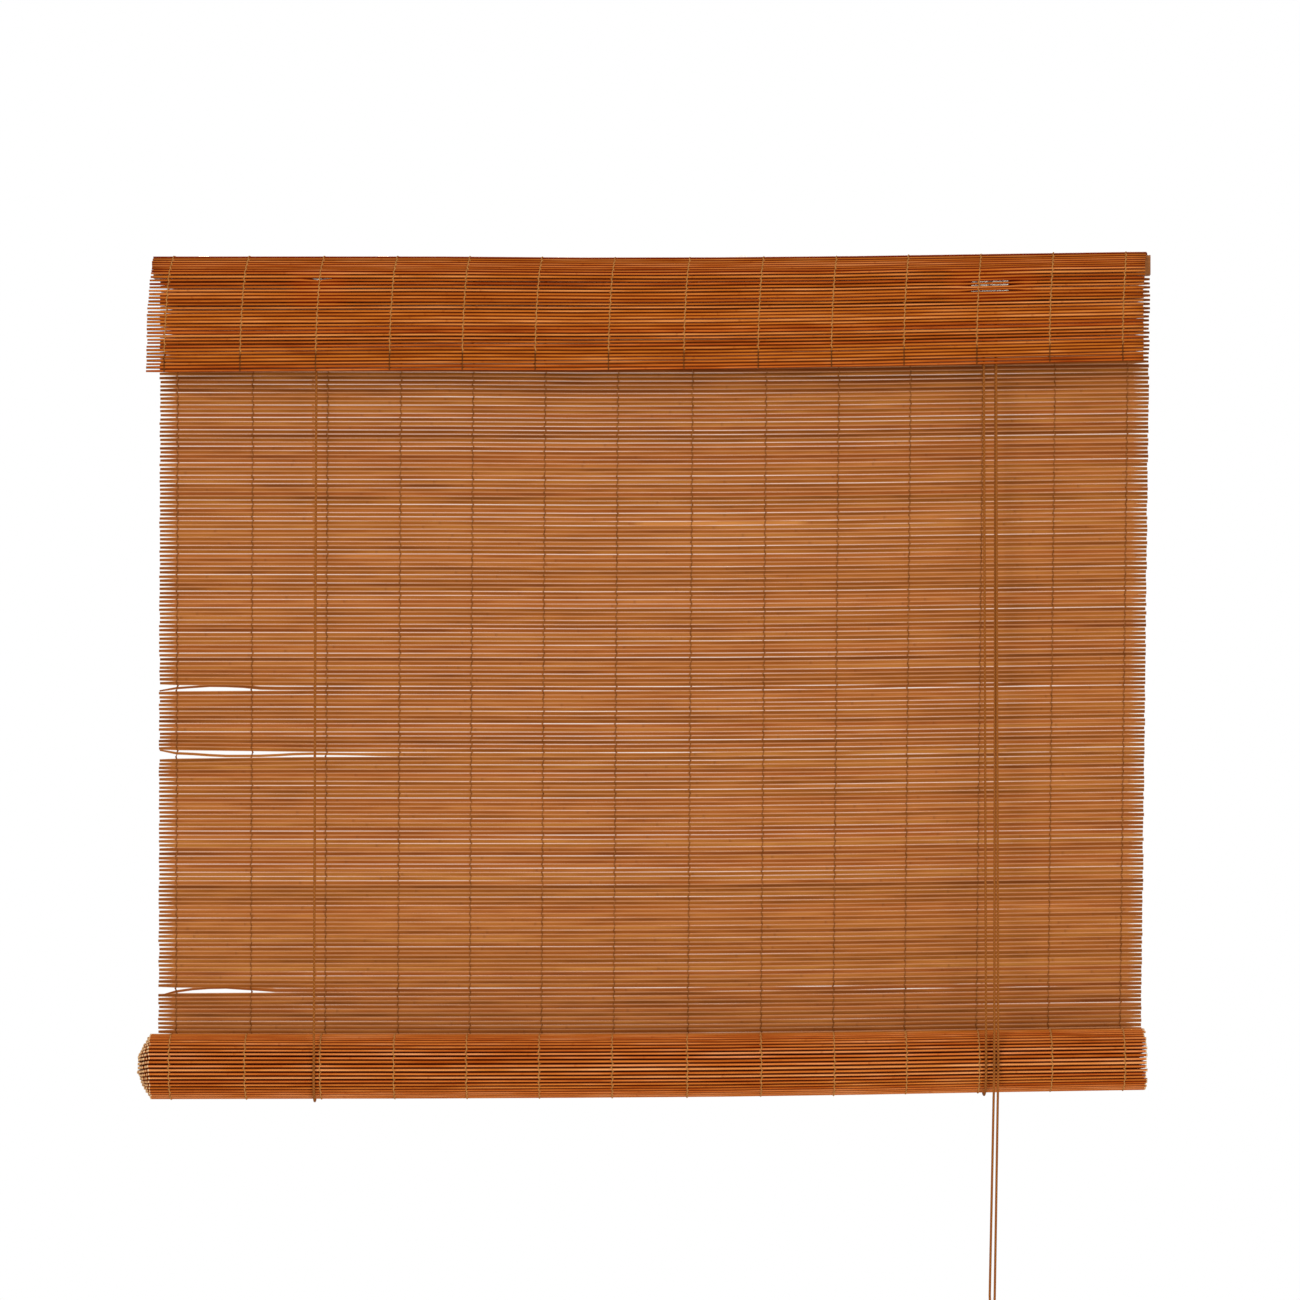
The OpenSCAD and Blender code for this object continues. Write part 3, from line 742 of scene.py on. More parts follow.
def mat_x(x, row):
    """The mat narrows and drifts left a little towards the roll."""
    share = row_depth(row) / DROP
    return x * (WIDTH - NARROWING * share) + MAT_MIDDLE - DRIFT * share


print("rows", ROWS, "of", round(ROW_H * 1000, 2), "mm")

# %% [markdown]
# A stick of the mat is the template, stretched to its length and bent to its row. Its height decides how
# wide the slit under it is and how much daylight passes. Scaling all sticks alike would give even
# stripes, so each has its own small difference, its own ends and its own tone.

# %% Shape of a mat stick
HALF = 0.5
# Height of a stick, as (depth of its row, height) and as (place along it, height added)
HEIGHT_BY_DEPTH = [(0.109, 0.0044), (0.117, 0.004), (0.3, 0.00405), (0.55, 0.00404), (0.75, 0.00415)]
HEIGHT_ALONG = [(-0.5, 0.00003), (0, 0), (0.5, 0.00014)]
# Height of a sprung stick where it is free and where it is held, and the length between the two
FREE_HEIGHT, HELD_HEIGHT, LEAVING = 0.0026, 0.004, 0.05
# Share of its height that a stick has at its left end, and at its right end behind and below the valance
LEFT_END, COVERED_END, RIGHT_END = 0.62, 0.5, 0.78
VALANCE_FOOT = 0.108
# Share of its thickness that a stick keeps where it is slim
LEAST_DEPTH = 0.75


def stick_height(row, x):
    """Sticks stand closest behind the valance and near the roll; a sprung stick is thin where it is free."""
    if row in SPRUNG:
        rest = SPRUNG[row][-1][0]
        return eased([(rest - LEAVING, FREE_HEIGHT), (rest, HELD_HEIGHT)], x)
    return eased(HEIGHT_BY_DEPTH, row_depth(row)) + eased(HEIGHT_ALONG, x)


def taper(gone, end):
    """1 between the outer threads, and down to end at a stick's end; gone is the distance from it."""
    return eased([(0, end), (FREE_END, 1)], gone)


def mat_stick(row):
    """A function that moves the template's points to one stick of the mat."""
    left = -HALF + dice.uniform(-0.0005, 0.0007)
    right = HALF + dice.uniform(-0.0007, 0.0005)
    extra = dice.gauss(0.00002, 0.00008)
    back = dice.uniform(-0.0002, 0.0002)
    right_end = COVERED_END if row_depth(row) < VALANCE_FOOT else RIGHT_END

    def shape(co):
        x = left + co.x * (right - left)
        slim = min(taper(x - left, LEFT_END), taper(right - x, right_end))
        y = MAT_Y + back + co.y * STICK_T * (LEAST_DEPTH + (1 - LEAST_DEPTH) * slim)
        high = (stick_height(row, x) + extra) * slim
        return Vector((mat_x(x, row), y, row_z(row, x) + co.z * high))

    return shape


print("stick heights", round(stick_height(0, 0), 5), "to", round(stick_height(ROWS - 1, 0), 5))

# %% [markdown]
# Most sticks get a tone by chance. A few are much darker, one is pale for a part of its length, and the
# rows just under the valance lie in its shade.

# %% Sticks of the mat
PALE_ROW, PALE_LEFT, PALE_RIGHT, PALE_TONE = 63, -0.022, 0.15, 2.3
DARK_ROWS, DARK_TONE = (31, 42, 96, 116, 151), -0.3
# How much darker the rows under the valance are, as (depth, loss of tone)
SHADE = [(VALANCE_FOOT, 0.6), (0.145, 0)]

mat = Bundle()
for row in range(ROWS):
    template = bent_stick if row in SPRUNG or row == PALE_ROW else plain_stick
    tone = DARK_TONE if row in DARK_ROWS else dice.random() - eased(SHADE, row_depth(row))
    added = mat.add(template, mat_stick(row), tone)
    if row == PALE_ROW:
        for v in added:
            v[mat.tone] = PALE_TONE if PALE_LEFT < v.co.x < PALE_RIGHT else tone
mat_piece = keep("mat_sticks", mat.made)
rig.replaces(mat_piece, "mat")
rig.slot(mat_piece, "mat_bamboo")
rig.ride(mat_piece, "frame")
print("mat faces", len(mat_piece.data.polygons))

# %% [markdown]
# The threads pass the middles of the sticks, found by the same functions, so they follow every wave of
# the rows. Sticks and threads are then squashed together when the roll climbs. On the real blind the mat
# is wound on instead, which a rigid roll can't show.

# %% Threads of the mat
# Distance of a thread's middle from the middle of the sticks
THREAD_REACH = STICK_T / 2 + THREAD_R * 0.6


def mat_thread(x):
    """The two strands of one warp thread down the hanging mat."""
    out, down = Vector((0, -1, 0)), Vector((0, 0, -1))
    spots = [(Vector((mat_x(x, row), MAT_Y, row_z(row, x))), out, down) for row in range(ROWS)]
    return twine(spots, THREAD_REACH)


mat_threads = thread_piece("mat_threads", [s for x in THREAD_X for s in mat_thread(x)])
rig.slot(mat_threads, "cord")
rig.ride(mat_threads, "frame")
for piece in (mat_piece, mat_threads):
    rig.squash(piece, "roll_lift", (0, 0, 1), (0, 0, 0), keep=1 - LIFT / MAT_LENGTH)
print("mat thread faces", len(mat_threads.data.polygons))

# %% [markdown]
# ## Valance
#
# A short second mat is folded over the headrail and hangs in front of the pulleys. Its sticks follow a
# bent line seen from the side: flat over the top, out to a shoulder, and down to the lower edge. A curve
# object could hold that line, but a function of the distance along it also gives the directions that the
# sticks and threads need.

# %% Fold line of the valance
# Corners of the line from the side, as (y, z)
FOLD_LINE = [(0.0085, 0.0016), (-0.0105, 0.0016), (-0.027, -0.014), (-0.036, -0.110)]
VALANCE_PITCH = 0.0034
fold_points = [Vector((0, y, z)) for y, z in FOLD_LINE]
fold_length = route_length(fold_points)
valance_rows = round(fold_length / VALANCE_PITCH)


def on_fold(far):
    """Place, outward and downward direction at a distance along the fold line."""
    for a, b in zip(fold_points, fold_points[1:]):
        step = (b - a).length
        if far <= step or b is fold_points[-1]:
            down = (b - a) / step
            return a + down * far, Vector((0, down.z, -down.y)), down
        far -= step


print("valance rows", valance_rows, "on", round(fold_length, 4), "m")

# %% [markdown]
# Before the pulley blocks the sticks stand close, but a few are bent apart there and let the bright metal
# show as thin lines. Slits could be cut into the sticks, but on the real blind the sticks are whole, so
# they are bent here too.

# %% Sticks before the pulley blocks
# Places of the open slits before the two blocks
LEFT_SLIT, RIGHT_SLIT = (-0.348, -0.322), (0.322, 0.366)
# Rows that stand apart there: (row, from, to, height, shift downwards)
PEEPS = [
    (14, *LEFT_SLIT, 0.0022, 0.0009),
    (15, *RIGHT_SLIT, 0.0026, -0.0003), (16, *RIGHT_SLIT, 0.0022, 0),
    (17, *RIGHT_SLIT, 0.0026, 0.0005), (18, *RIGHT_SLIT, 0.0022, -0.0007),
]
# Rows and places where the sticks stand close
BLOCK_ROWS, BLOCKS = range(11, 22), ((-0.36, -0.305), (0.305, 0.378))
# How much wider the painted shade at a stick's edges is where the sticks stand close, for the shadow in their grooves
GROOVE_SHADE = 1.4


def before_block(row, x):
    """Whether a pulley block stands behind this place of a valance stick."""
    return row in BLOCK_ROWS and any(start < x < end for start, end in BLOCKS)


def height_and_shift(row, x, usual):
    """Height and shift of a valance stick, which differ before the pulley blocks."""
    for bent, start, end, height, shift in PEEPS:
        if row == bent and start < x < end:
            return height, shift
    return (VALANCE_PITCH, 0) if before_block(row, x) else (usual, 0)


print("rows bent apart", len(PEEPS))

# %% [markdown]
# The valance's sticks are made like the mat's, on the fold line. The short mat hangs a little askew, so
# towards its lower edge the left ends step out and the right ends step in. Each end has a small chance
# difference, because sticks are never cut to quite the same length.

# %% Valance sticks
VALANCE_WAVE = 0.0004
# Slant of the lower edge, and its drop in the middle
EDGE_SLANT, EDGE_DROP = 0.0081, 0.0027
# Ends of the sticks, as (share of the way down, place)
VALANCE_LEFT = [(0, -0.5), (0.2, -0.5035), (0.6, -0.507), (1, -0.5075)]
VALANCE_RIGHT = [(0, 0.5008), (0.3, 0.4958), (0.5, 0.4938), (1, 0.4933)]
# Share of its height that a stick keeps however slim its end is
LEAST_HEIGHT = 0.4


def valance_spot(row, x):
    """Middle of a valance stick at a place along it, with its directions."""
    share = (row + 0.5) / valance_rows
    at, out, down = on_fold(share * fold_length)
    wave = VALANCE_WAVE * noise.noise(Vector((x * 5.0, row * 4.19, 31.0)))
    lift = rise(x, 0) + share * (EDGE_SLANT * x - EDGE_DROP)
    return Vector((x, at.y, at.z + lift)) + down * wave, out, down


def valance_stick(row):
    """A function that moves the template's points to one stick of the valance."""
    share = (row + 0.5) / valance_rows
    left = eased(VALANCE_LEFT, share) + dice.uniform(-0.0006, 0.0006)
    right = eased(VALANCE_RIGHT, share) + dice.uniform(-0.0003, 0.0003)
    usual = dice.uniform(0.0022, 0.003)

    def shape(co):
        x = left + co.x * (right - left)
        at, out, down = valance_spot(row, x)
        high, shift = height_and_shift(row, x, usual)
        slim = LEAST_HEIGHT + (1 - LEAST_HEIGHT) * taper(x - left, LEFT_END)
        return at + out * co.y * STICK_T + down * (co.z * high * slim + shift)

    return shape


valance = Bundle()
for row in range(valance_rows):
    template = bent_stick if row in BLOCK_ROWS else plain_stick
    for v in valance.add(template, valance_stick(row), dice.random()):
        # Where the sticks stand close, the painted groove shade reaches further in from the edges
        if before_block(row, v.co.x):
            v[valance.edge] *= GROOVE_SHADE
valance_piece = keep("valance_sticks", valance.made)
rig.replaces(valance_piece, "valance")
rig.slot(valance_piece, "valance_bamboo")
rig.ride(valance_piece, "frame")
print("valance faces", len(valance_piece.data.polygons))

# %% [markdown]
# The threads run down with a curve to the left, because the valance has shifted on them. In the last rows
# they are darker on the photograph. A second colour on the same mesh would need another attribute, so the
# strands of those rows are simply a piece of their own.

# %% Valance threads
# How far a thread leans at the lower edge, and how that changes along the blind
THREAD_LEAN, LEAN_CHANGE = -0.0068, 0.0018
# Share of the way down at which the lean starts, and how soon it is reached
LEAN_START, LEAN_POWER = 0.1, 2.3
DARK_END_ROWS = 6


def valance_thread(x, rows):
    """The two strands of one warp thread past some rows of the valance."""
    lean = THREAD_LEAN + LEAN_CHANGE * x
    down = [max(0, r / valance_rows - LEAN_START) / (1 - LEAN_START) for r in rows]
    spots = [valance_spot(r, x + lean * (1 - (1 - d) ** LEAN_POWER)) for r, d in zip(rows, down)]
    return twine(spots, THREAD_REACH)


def all_threads(rows):
    """The strands of all warp threads past some rows."""
    return [strand for x in THREAD_X for strand in valance_thread(x, rows)]


last = valance_rows - DARK_END_ROWS
valance_threads = thread_piece("valance_threads", all_threads(range(last + 1)))
thread_ends = thread_piece("valance_thread_ends", all_threads(range(last, valance_rows)))
for piece in (valance_threads, thread_ends):
    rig.slot(piece, "cord")
    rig.ride(piece, "frame")
print("valance thread faces", len(valance_threads.data.polygons), len(thread_ends.data.polygons))

# %% [markdown]
# ## Headrail
#
# The rail inside the valance has bowed a little: its middle sags and its right end stands higher. Its
# solid is straight, so a copy of the solid is cut across in many places and bent along the same line as
# the sticks that hang on it. Its fixing holes come along in the copy.

# %% Bowed headrail
CUTS = 40

rail = bmesh.new()
rail.from_mesh(frame["nodes"]["headrail"].data)
bmesh.ops.remove_doubles(rail, verts=rail.verts, dist=1e-6)
rail_low, rail_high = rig.box("headrail")
for i in range(1, CUTS):
    place = rail_low.lerp(rail_high, i / CUTS)
    bmesh.ops.bisect_plane(
        rail, geom=rail.verts[:] + rail.edges[:] + rail.faces[:], plane_co=place, plane_no=(1, 0, 0),
    )
for v in rail.verts:
    v.co.z += rise(v.co.x, 0)
headrail = keep("bowed_headrail", rail)
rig.replaces(headrail, "headrail")
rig.slot(headrail, "stained_wood")
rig.ride(headrail, "frame")
print("headrail faces", len(headrail.data.polygons))

# %% [markdown]
# ## Roll
#
# The rest of the mat is rolled up round a wooden rod. The sticks lie on a spiral whose outer turn
# continues the mat, and the turns have slipped: towards the core they stand out at the left and back
# at the right, so the left end shows a cone of sawn stick ends. The sticks at the roll's top and bottom
# lie open to the light, so less painted shade is put on their edges. A cylinder with a picture would do from afar,
# but the cone of stick ends needs real sticks.

# %% Spiral of the roll
# Outer radius, thickness of a turn and number of turns, and the distance of the sticks along them
ROLL_R, TURN_PITCH, TURNS = 0.0345, 0.0032, 8.31
ROLL_PITCH = 0.0040
ROLL_WAVE = 0.00035


def roll_reach(turn):
    """Distance of a stick's middle from the roll's axis, at an angle along the spiral."""
    return ROLL_R - TURN_PITCH * turn / (2 * math.pi) - STICK_T / 2


def roll_turns():
    """Angles of the sticks along the spiral."""
    turn, found = 0, []
    while turn < 2 * math.pi * TURNS:
        found.append(turn)
        turn += ROLL_PITCH / roll_reach(turn)
    return found


def roll_spot(turn, x):
    """Middle of a rolled stick at a place along it, with its directions."""
    out = Vector((0, math.cos(turn), -math.sin(turn)))
    along = Vector((0, -math.sin(turn), -math.cos(turn)))
    wave = ROLL_WAVE * noise.noise(Vector((x * 5.0, turn * 9.7, 57.0)))
    middle = Vector((x, AXIS_Y, AXIS_Z + rise(x, 1)))
    return middle + out * roll_reach(turn) * tight(x) + along * wave, out, along


turns = roll_turns()
print("roll sticks", len(turns))

# %% [markdown]
# The slip of a turn grows from the outside to the core, most of it in the outer turns. Only the outer
# turn shows its length, so the sticks further in get dark tones, as they lie in the shade of the others.

# %% Roll sticks
# Slip of the outer turn, slip added at the core, and how much of it comes early
OUTER_SLIP, CORE_SLIP, EARLY = -0.003, -0.0145, 0.45
ROLLED_HEIGHT = 0.0026
# Turns that can be seen, and share of its painted edge shade that a stick keeps at the roll's top and bottom
SEEN_TURNS, OPEN_EDGE_SHADE = 1.02, 0.62


def rolled_stick(turn):
    """A function that moves the template's points to one stick of the roll."""
    share = turn / (2 * math.pi * TURNS)
    slip = OUTER_SLIP + CORE_SLIP * share * (1 + EARLY - EARLY * share)
    left = -HALF + slip + dice.uniform(-0.0008, 0.0008)
    right = HALF + slip + dice.uniform(-0.0015, 0.0008)
    high = ROLLED_HEIGHT + dice.uniform(-0.0002, 0.0002)

    def shape(co):
        x = left + co.x * (right - left)
        at, out, along = roll_spot(turn, x)
        return at + out * co.y * STICK_T + along * co.z * high

    return shape


roll = Bundle()
for turn in turns:
    tone = dice.random() if turn < 2 * math.pi * SEEN_TURNS else dice.uniform(-0.5, 0)
    for v in roll.add(frayed_stick, rolled_stick(turn), tone):
        # The painted shade at the edges is weaker at the roll's top and bottom, which lie open to the light
        v[roll.edge] *= OPEN_EDGE_SHADE + (1 - OPEN_EDGE_SHADE) * abs(math.cos(turn))
roll_piece = keep("roll_sticks", roll.made)
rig.replaces(roll_piece, "roll")
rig.slot(roll_piece, "roll_bamboo")
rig.ride(roll_piece, "roll")
print("roll faces", len(roll_piece.data.polygons))

# %% [markdown]
# The warp threads go on round the roll. Threads on the inner turns would never be seen, so only the outer
# turn and the start of the next one have them.

# %% Roll threads
THREADED_TURNS = 1.05
# Width and place of the threads on the roll against those on the blind
THREAD_WIDTH, THREAD_SHIFT = 0.9964, -0.0033


def roll_thread(x):
    """The two strands of one warp thread round the roll."""
    shown = [t for t in turns if t < 2 * math.pi * THREADED_TURNS]
    spots = [roll_spot(t, x * THREAD_WIDTH + THREAD_SHIFT) for t in shown]
    return twine(spots, THREAD_REACH)


roll_threads = thread_piece("roll_threads", [s for x in THREAD_X for s in roll_thread(x)])
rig.slot(roll_threads, "cord")
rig.ride(roll_threads, "roll")
print("roll thread faces", len(roll_threads.data.polygons))

# %% [markdown]
# ## Finishes
#
# A helper adds a shader node, sets its options and feeds its inputs. Effects that several finishes
# share are node groups: the grain of stained bamboo, the grain of plain wood, and the braid of a cord.

# %% Shader helpers
def add(tree, kind, feeds=(), **options):
    """A new node; a feed that is a socket is linked, and any other value is set."""
    made = tree.nodes.new(kind)
    for key, value in options.items():
        setattr(made, key, value)
    for key, value in dict(feeds).items():
        if isinstance(value, bpy.types.NodeSocket):
            tree.links.new(value, made.inputs[key])
        else:
            made.inputs[key].default_value = value
    return made


def maths(tree, operation, *values):
    """The result of a sum, a product or the like."""
    return add(tree, "ShaderNodeMath", enumerate(values), operation=operation).outputs[0]


def mixed(tree, share, a, b, clamp=True):
    """A colour between two others."""
    return add(tree, "ShaderNodeMix", {0: share, 6: a, 7: b}, data_type="RGBA", clamp_factor=clamp).outputs[2]


def ranged(tree, value, low, high, to_low, to_high, clamp=True):
    """A value moved from one range to another."""
    feeds = enumerate((value, low, high, to_low, to_high))
    return add(tree, "ShaderNodeMapRange", feeds, clamp=clamp).outputs[0]


def group(name, inputs, outputs):
    """A node group with named sockets, and its input and output nodes."""
    tree = bpy.data.node_groups.new(name, "ShaderNodeTree")
    for socket, kind in inputs.items():
        tree.interface.new_socket(socket, in_out="INPUT", socket_type=kind)
    for socket, kind in outputs.items():
        tree.interface.new_socket(socket, in_out="OUTPUT", socket_type=kind)
    return tree, tree.nodes.new("NodeGroupInput").outputs, tree.nodes.new("NodeGroupOutput").inputs


def finish(name):
    """A new material, its tree and its Principled shader."""
    made = bpy.data.materials.new(name)
    made.use_nodes = True
    return made, made.node_tree, made.node_tree.nodes["Principled BSDF"]


FLOAT, COLOUR, VECTOR = "NodeSocketFloat", "NodeSocketColor", "NodeSocketVector"
# Mirror light of dry fibres, which is weak
DRY = 0.03
print("materials before dressing", len(bpy.data.materials))

# %% [markdown]
# Stained bamboo is streaked along its fibres. Four-dimensional noise, stretched along the stick, takes
# the stick's own tone as its fourth axis, so that no two sticks share a pattern. Thin dark rings mark the
# cane's joints. The edges get a painted colour that stands for light and shade: a painted shade for the
# shadow in the grooves of the folded and rolled mats, and a warm painted light for daylight glowing through the hanging
# mat.

# %% Stained bamboo group
bamboo, given, made = group(
    "stained_bamboo",
    {"Tone": FLOAT, "Edge": FLOAT, "Dark": COLOUR, "Middle": COLOUR, "Light": COLOUR, "Painted edge": COLOUR},
    {"Color": COLOUR, "Roughness": FLOAT, "Height": FLOAT},
)
at = add(bamboo, "ShaderNodeTexCoord").outputs["Object"]
own = maths(bamboo, "MULTIPLY", given["Tone"], 61.0)
wide = add(bamboo, "ShaderNodeMapping", {"Vector": at, "Scale": (13, 30, 30)}).outputs[0]
fine = add(bamboo, "ShaderNodeMapping", {"Vector": at, "Scale": (22, 1100, 1100)}).outputs[0]


def own_noise(place, detail):
    """Noise that differs from stick to stick."""
    feeds = {"Vector": place, "W": own, "Scale": 1.0, "Detail": detail}
    return add(bamboo, "ShaderNodeTexNoise", feeds, noise_dimensions="4D").outputs[0]


patch, fibre = own_noise(wide, 2.0), own_noise(fine, 3.0)
tone = ranged(bamboo, given["Tone"], 0.0, 1.0, -0.24, 0.24, clamp=False)
patchy = ranged(bamboo, patch, 0.3, 0.7, 0.22, 0.78)
streak = ranged(bamboo, fibre, 0.25, 0.75, -0.2, 0.2)
mix = maths(bamboo, "ADD", maths(bamboo, "ADD", patchy, tone), streak)
darker = mixed(bamboo, ranged(bamboo, mix, 0.0, 0.5, 0.0, 1.0), given["Dark"], given["Middle"])
lighter = maths(bamboo, "MAXIMUM", ranged(bamboo, mix, 0.5, 1.0, 0.0, 1.0, clamp=False), 0.0)
stain = mixed(bamboo, lighter, darker, given["Light"], clamp=False)
x_only = add(bamboo, "ShaderNodeSeparateXYZ", {0: at}).outputs[0]
cycle = maths(bamboo, "FRACT", maths(bamboo, "MULTIPLY_ADD", x_only, 3.4, own))
ring = ranged(bamboo, cycle, 0.0, 0.012, 0.45, 0.0)
hue = ranged(bamboo, maths(bamboo, "FRACT", own), 0.0, 1.0, 0.496, 0.504)
ringed = mixed(bamboo, ring, stain, given["Dark"])
hued = add(bamboo, "ShaderNodeHueSaturation", {"Hue": hue, "Color": ringed}).outputs[0]
# Painted light or shade at the stick's edges, laid over its stained colour
bamboo.links.new(mixed(bamboo, given["Edge"], hued, given["Painted edge"]), made["Color"])
bamboo.links.new(ranged(bamboo, fibre, 0.3, 0.7, 0.58, 0.4), made["Roughness"])
bamboo.links.new(fibre, made["Height"])
print("group", bamboo.name, len(bamboo.nodes), "nodes")

# %% [markdown]
# One function turns the group into a finish, and each mat gives it four colours of its own, the last one
# painted at the edges. One finish for all would be simpler, but the colours also paint light and shade: the
# hanging mat has daylight behind it and gets darker colours as a painted shade, the valance and the roll are lit from
# the front, and the sawn ends are raw and pale.

# %% Stained bamboo finishes
def bamboo_finish(name, dark, middle, light, painted_edge, reach, even=False):
    """Four colours; the painted edge colour, a painted light or shade, starts at reach, from 0 at the stick's middle to
    1 at its edge.
    """
    made, tree, skin = finish(name)
    tone = add(tree, "ShaderNodeAttribute", attribute_name="tone").outputs["Fac"]
    edge = add(tree, "ShaderNodeAttribute", attribute_name="edge").outputs["Fac"]
    grain = add(tree, "ShaderNodeGroup", node_tree=bamboo)
    tree.links.new(ranged(tree, tone, 0.0, 1.0, 0.4, 0.9) if even else tone, grain.inputs["Tone"])
    tree.links.new(ranged(tree, edge, reach, 1.0, 0.0, 0.9), grain.inputs["Edge"])
    for socket, colour in (("Dark", dark), ("Middle", middle), ("Light", light), ("Painted edge", painted_edge)):
        grain.inputs[socket].default_value = (*colour, 1)
    feeds = {"Strength": 0.25, "Distance": 0.0003, "Height": grain.outputs["Height"]}
    bump = add(tree, "ShaderNodeBump", feeds)
    tree.links.new(grain.outputs["Color"], skin.inputs["Base Color"])
    tree.links.new(grain.outputs["Roughness"], skin.inputs["Roughness"])
    tree.links.new(bump.outputs[0], skin.inputs["Normal"])
    skin.inputs["Specular IOR Level"].default_value = DRY
    return made


# The last colour of each finish is painted at the edges: a warm painted light of daylight glowing through the hanging
# mat, and a painted shade of the grooves on the valance, the roll and the sawn ends
hung_bamboo = bamboo_finish(
    "hung_bamboo",
    (0.17, 0.042, 0.006), (0.31, 0.088, 0.013), (0.44, 0.155, 0.031), (0.76, 0.37, 0.18), 0.52,
)
folded_bamboo = bamboo_finish(
    "folded_bamboo",
    (0.3, 0.056, 0.003), (0.54, 0.14, 0.014), (0.78, 0.28, 0.07), (0.14, 0.003, 0.0001), 0.24,
)
rolled_bamboo = bamboo_finish(
    "rolled_bamboo",
    (0.4, 0.075, 0.004), (0.65, 0.188, 0.028), (0.9, 0.37, 0.13), (0.13, 0.003, 0.0001), 0.26,
)
sawn_bamboo = bamboo_finish(
    "sawn_bamboo",
    (0.62, 0.3, 0.1), (0.85, 0.54, 0.26), (0.95, 0.74, 0.46), (0.25, 0.06, 0.012), 0.55, even=True,
)
for piece, skin in ((mat_piece, hung_bamboo), (valance_piece, folded_bamboo), (roll_piece, rolled_bamboo)):
    piece.data.materials.append(skin)
    piece.data.materials.append(sawn_bamboo)
print("dressed", mat_piece.name, valance_piece.name, roll_piece.name)

# %% [markdown]
# The cords are braided cotton. The UV map runs in metres along the cord and in turns round it, so two
# sets of slanting bands that cross give the plaited look, both in colour and as a bump. Modelling every
# yarn would take very many faces for a cord that is two millimetres thick.

# %% Braided cord
plait, given, made = group("plaited_bands", {"Across": FLOAT, "Along": FLOAT}, {"Bands": FLOAT})
left = maths(plait, "PINGPONG", maths(plait, "ADD", given["Along"], given["Across"]), 0.5)
right = maths(plait, "PINGPONG", maths(plait, "SUBTRACT", given["Along"], given["Across"]), 0.5)
plait.links.new(maths(plait, "MULTIPLY", maths(plait, "MAXIMUM", left, right), 2.0), made["Bands"])


def cord_finish(name, dark, light):
    """Bands in two colours; the numbers by which the UV map is multiplied set how fine the plait is."""
    made, tree, skin = finish(name)
    spot = add(tree, "ShaderNodeUVMap", uv_map="braid").outputs[0]
    split = add(tree, "ShaderNodeSeparateXYZ", {0: spot}).outputs
    bands = add(tree, "ShaderNodeGroup", node_tree=plait)
    tree.links.new(maths(tree, "MULTIPLY", split[0], 320.0), bands.inputs["Along"])
    tree.links.new(maths(tree, "MULTIPLY", split[1], 3.0), bands.inputs["Across"])
    fuzz = add(tree, "ShaderNodeTexNoise", {"Scale": 900.0, "Detail": 2.0}).outputs[0]
    shade = maths(tree, "MULTIPLY", bands.outputs[0], ranged(tree, fuzz, 0.3, 0.7, 0.75, 1.1))
    tree.links.new(mixed(tree, shade, (*dark, 1), (*light, 1)), skin.inputs["Base Color"])
    tree.links.new(ranged(tree, bands.outputs[0], 0.0, 1.0, 0.95, 0.75), skin.inputs["Roughness"])
    bump = add(tree, "ShaderNodeBump", {"Strength": 0.6, "Distance": 0.0004, "Height": bands.outputs[0]})
    tree.links.new(bump.outputs[0], skin.inputs["Normal"])
    skin.inputs["Specular IOR Level"].default_value = DRY
    return made


cord_skin = cord_finish("braided_cord", (0.14, 0.04, 0.007), (0.4, 0.13, 0.025))
for piece in cords:
    piece.data.materials.append(cord_skin)
print("braided pieces", len(cords))

# %% [markdown]
# The warp threads are plain twisted yarn, too thin to show a pattern, so fine noise between two colours
# is enough. One yarn gets three sets of colours that paint how it is lit: pale, a painted light, where
# light falls on it from the front on the valance and the roll, brown, a painted shade, on the hanging mat, and darkest
# at the valance's lower edge.

# %% Warp threads
def thread_finish(name, dark, light):
    """Fuzzy yarn between two colours."""
    made, tree, skin = finish(name)
    fuzz = add(tree, "ShaderNodeTexNoise", {"Scale": 700.0, "Detail": 2.0}).outputs[0]
    shade = ranged(tree, fuzz, 0.3, 0.7, 0.0, 1.0)
    tree.links.new(mixed(tree, shade, (*dark, 1), (*light, 1)), skin.inputs["Base Color"])
    skin.inputs["Roughness"].default_value = 0.85
    skin.inputs["Specular IOR Level"].default_value = DRY
    return made


# One yarn in three colours: pale is a painted light, brown a painted shade
pale_thread = thread_finish("pale_thread", (0.42, 0.17, 0.04), (0.62, 0.29, 0.085))
brown_thread = thread_finish("brown_thread", (0.17, 0.05, 0.009), (0.34, 0.115, 0.026))
dark_thread = thread_finish("dark_thread", (0.1, 0.03, 0.006), (0.22, 0.07, 0.015))
DRESSED = (
    (thread_ends, dark_thread), (mat_threads, brown_thread),
    (valance_threads, pale_thread), (roll_threads, pale_thread),
)
for piece, skin in DRESSED:
    piece.data.materials.append(skin)
print("thread pieces", len(DRESSED))

# %% [markdown]
# The headrail and the rod are plain softwood, the knob is turned and varnished wood. Both take their
# year rings from one group: noise stretched along the grain and folded back and forth into rings. A
# picture of wood would show seams on a turned knob, and noise in space has none.

# %% Wood
timber, given, made = group("year_rings", {"Stretch": VECTOR}, {"Rings": FLOAT, "Pores": FLOAT})
at = add(timber, "ShaderNodeTexCoord").outputs["Object"]
pulled = add(timber, "ShaderNodeMapping", {"Vector": at, "Scale": given["Stretch"]}).outputs[0]
slow = add(
    timber, "ShaderNodeTexNoise", {"Vector": pulled, "Scale": 1.0, "Detail": 2.0, "Distortion": 0.6},
).outputs[0]
rings = maths(timber, "PINGPONG", maths(timber, "MULTIPLY", slow, 9.0), 1.0)
pores = add(timber, "ShaderNodeTexNoise", {"Vector": pulled, "Scale": 14.0, "Detail": 3.0}).outputs[0]
timber.links.new(rings, made["Rings"])
timber.links.new(pores, made["Pores"])


